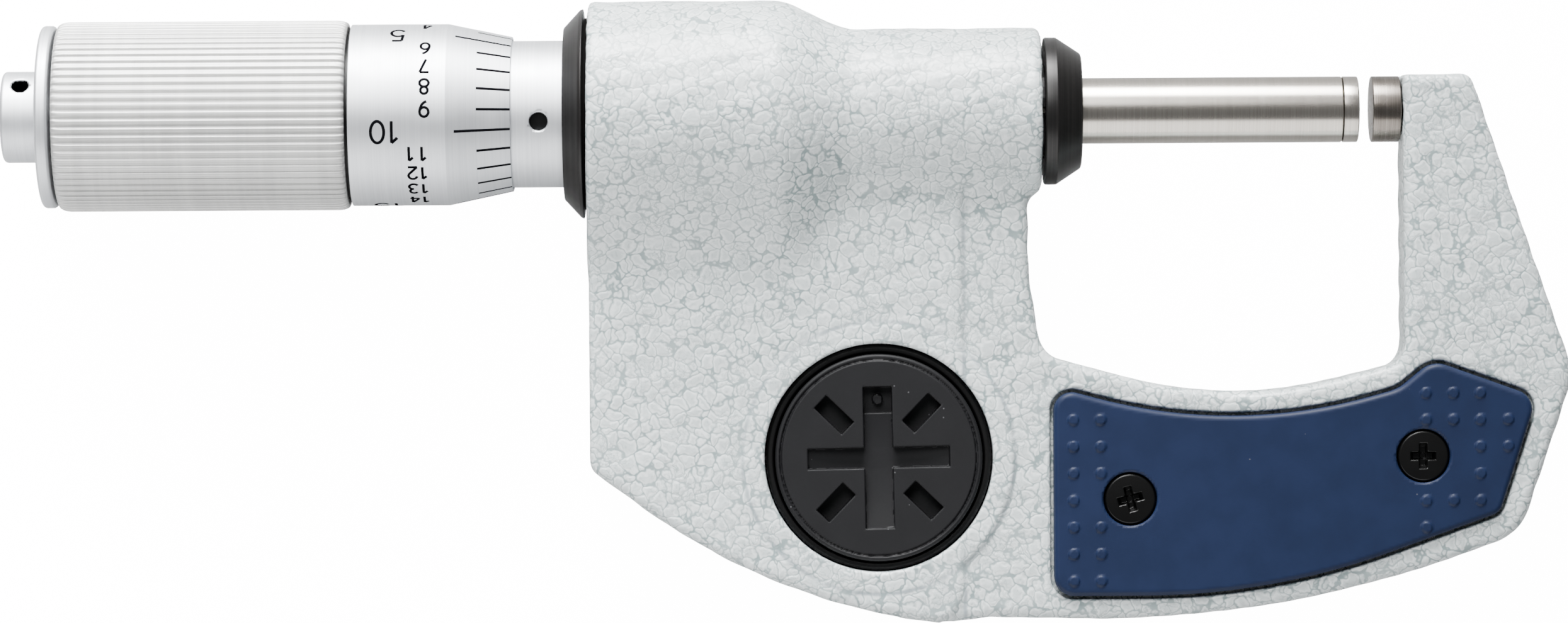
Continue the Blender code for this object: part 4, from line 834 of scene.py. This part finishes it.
def front_plate_shape(x, y, z):
    """The dotted plate seen from the other side, with two bosses that the screws run into."""
    plate = dotted_plate(x, y, -z)
    for px, py in PLATE_SCREWS:
        far = np.hypot(x - px, y - py)
        plate = joined(plate, thick(far - 2.28, z, -3.1, 2.38, 0.1), 0.15)
        plate = cut(plate, np.maximum(far - 1.4, -2.0 - z), 0.1)
    return plate


cast("back_plate", rear_plate_shape, (-31.6, -47.6, 2.2), (16.8, -23.2, 5.0), 0.25, navy_plastic, "frame",
     "rear_plate")
cast("front_plate_skin", front_plate_shape, (-31.6, -47.6, -5.0), (16.8, -23.2, 2.8), 0.27, navy_plastic,
     "frame", "front_plate")


# %% Screws
def screw_shape(px, py, top, head, shank, length, rise, arm, way=1, turn=0.0):
    """A cross-head screw: a domed head, a shank, and a cross that narrows downwards; way is up or down."""
    def shape(x, y, z):
        far, high = np.hypot(x - px, y - py), way * (z - top)
        body = thick(far - head, high + 0.035 * far * far / head, -rise, 0.0, 0.22)
        body = np.minimum(body, thick(far - shank, high, -length, -rise + 0.2, 0.1))
        u = np.abs((x - px) * math.cos(turn) + (y - py) * math.sin(turn))
        v = np.abs((y - py) * math.cos(turn) - (x - px) * math.sin(turn))
        long, short = np.maximum(u, v), np.minimum(u, v)
        cross = np.maximum(short - 0.31 * arm - 0.12 * high, long - arm - 0.35 * high)
        cross = np.maximum(cross, -0.75 * arm - high)
        core = np.maximum(far - 0.5 * arm - 0.3 * high, -0.85 * arm - high)
        return cut(body, np.minimum(cross, core), 0.08)
    return shape


for k, (px, py) in enumerate(PLATE_SCREWS):
    shape = screw_shape(px, py, 4.35, 2.425, 1.25, 5.9, 1.2, 1.25, turn=(0.25, 0.0)[k])
    cast("plate_screw_head_%d" % (k + 1), shape, (px - 2.8, py - 2.8, -1.9), (px + 2.8, py + 2.8, 4.7), 0.11,
         screw_black, "frame", "plate_screw_%d" % (k + 1))

# %% [markdown]
# ## The display side
# The back is what the photograph shows; the front is made as such tools have it: a blue cover with a window
# over a plain display that is switched off, three round buttons, and four small screws.

# %% Cover, buttons and screws
cover_line = rounded([(-74.77, 5.6, 0.4), (-74.77, -33.77, 1.2), (-57.0, -46.55, 59.2), (-40.27, -48.56, 0.5),
                      (-40.27, 5.6, 0.4)])
window_line = rounded([(-70.07, -26.0, 1.0), (-44.97, -26.0, 1.0), (-44.97, -15.0, 1.0),
                       (-70.07, -15.0, 1.0)])
buttons = []
for k in (1, 2, 3):
    corner_low, corner_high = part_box("button_%d" % k)
    middle = (np.array(corner_low) + np.array(corner_high)) / (2 * MM) - HOME / MM
    buttons.append((float(middle[0]), float(middle[1])))


def cover_shape(x, y, z):
    """A thick outline with a stepped window, button holes and countersunk screw holes."""
    cover = thick(flat_gap(cover_line, x, y), z, -13.4, -11.3, 0.5)
    pane = flat_gap(window_line, x, y)
    cover = cut(cover, np.maximum(pane - 0.15, z + 11.85), 0.12)
    cover = cut(cover, pane + 1.0 + 0 * z, 0.12)
    for px, py in buttons:
        cover = cut(cover, np.hypot(x - px, y - py) - 2.45 + 0 * z, 0.2)
    for px, py in COVER_SCREWS:
        far = np.hypot(x - px, y - py)
        cover = cut(cover, np.maximum(far - 1.45, z + 12.15), 0.12)
        cover = cut(cover, far - 0.9 + 0 * z, 0.1)
    return cover


cast("display_cover", cover_shape, (-75.4, -49.4, -13.9), (-39.6, 6.4, -10.8), 0.28, navy_plastic, "frame",
     "bezel")
button_line = rounded([(-13.1, 0, 0), (-13.2, 2.3, 0.35), (-11.0, 2.3, 0), (-11.0, 2.9, 0.1), (-10.1, 2.9, 0),
                       (-10.1, 0, 0)])
for k, spot in enumerate(buttons):
    turned("button_top_%d" % (k + 1), button_line, grey_plastic, "button_%d" % (k + 1), "button_%d" % (k + 1),
           axis="Z", at=spot, sides=96)
for k, (px, py) in enumerate(COVER_SCREWS):
    shape = screw_shape(px, py, -13.3, 1.3, 0.75, 3.6, 1.0, 0.75, way=-1)
    cast("cover_screw_%d" % (k + 1), shape, (px - 1.6, py - 1.6, -13.6), (px + 1.6, py + 1.6, -9.4), 0.1,
         screw_black, "frame", "bezel_screw_%d" % (k + 1))

# %% [markdown]
# ## Camera, light and floor
# The photograph looks straight down on the back of the tool from a long lens, turned by a third of a degree.
# The light is a bright tent: a white floor, two soft panels beyond the top edge, one high and one low, and a
# broad one beyond the bottom edge. They stand to the left, so the bow's far leg is a little dimmer.

# %% Camera
SENSOR, CAMERA_HEIGHT, FIELD_WIDTH, ROLL = 36.0, 600.0, 151.3, -0.35
camera_data = bpy.data.cameras.new("camera")
camera_data.sensor_width = SENSOR
camera_data.lens = SENSOR * CAMERA_HEIGHT / FIELD_WIDTH
camera_data.clip_end = 20.0
camera = bpy.data.objects.new("camera", camera_data)
camera.location = HOME + np.array([-56.71, -19.19, CAMERA_HEIGHT]) * MM
camera.rotation_euler = (0.0, 0.0, math.radians(ROLL))
bpy.context.scene.collection.objects.link(camera)
bpy.context.scene.camera = camera

# %% Floor and lights
REACH, FLOOR_Z, GLOW = 3.0, -0.0003, 15.0
floor_finish, tree, shader = finish("floor_white", (0.42, 0.42, 0.42), 0.0, 0.9)
seen = add(tree, "ShaderNodeLightPath").outputs["Is Camera Ray"]
shader.inputs["Emission Color"].default_value = (1.0, 1.0, 1.0, 1.0)
tree.links.new(maths(tree, "MULTIPLY", seen, GLOW), shader.inputs["Emission Strength"])
floor_mesh = bpy.data.meshes.new("floor")
corners = [(x, y, FLOOR_Z) for x, y in ((-REACH, -REACH), (REACH, -REACH), (REACH, REACH), (-REACH, REACH))]
floor_mesh.from_pydata(corners, [], [(0, 1, 2, 3)])
floor_mesh.materials.append(floor_finish)
floor = bpy.data.objects.new("floor", floor_mesh)
bpy.context.scene.collection.objects.link(floor)


def panel(name, place, target, width, height, power, spread):
    """A soft rectangular light at a place, turned to face a target; metres, watts and degrees of spread."""
    data = bpy.data.lights.new(name, "AREA")
    data.shape = "RECTANGLE"
    data.size, data.size_y, data.energy, data.spread = width, height, power, math.radians(spread)
    lamp = bpy.data.objects.new(name, data)
    lamp.location = place
    aim = np.array(target, float) - np.array(place, float)
    flat = math.hypot(aim[0], aim[1])
    lamp.rotation_euler = (math.atan2(flat, -aim[2]), 0.0, math.atan2(-aim[0], aim[1]))
    bpy.context.scene.collection.objects.link(lamp)


panel("high_panel", (-0.37, 0.325, 0.510), (-0.37, -0.02, 0.0), 0.80, 0.34, 1.70, 65.0)
panel("sky_panel", (-0.30, 0.556, 0.225), (-0.30, -0.02, 0.0), 0.80, 0.36, 5.9, 65.0)
panel("low_panel", (-0.28, -0.530, 0.281), (-0.28, -0.02, 0.0), 0.96, 0.54, 4.8, 180.0)
world = bpy.data.worlds.new("tent")
world.use_nodes = True
world.node_tree.nodes["Background"].inputs["Color"].default_value = (0.95, 0.97, 1.0, 1.0)
world.node_tree.nodes["Background"].inputs["Strength"].default_value = 0.22
bpy.context.scene.world = world
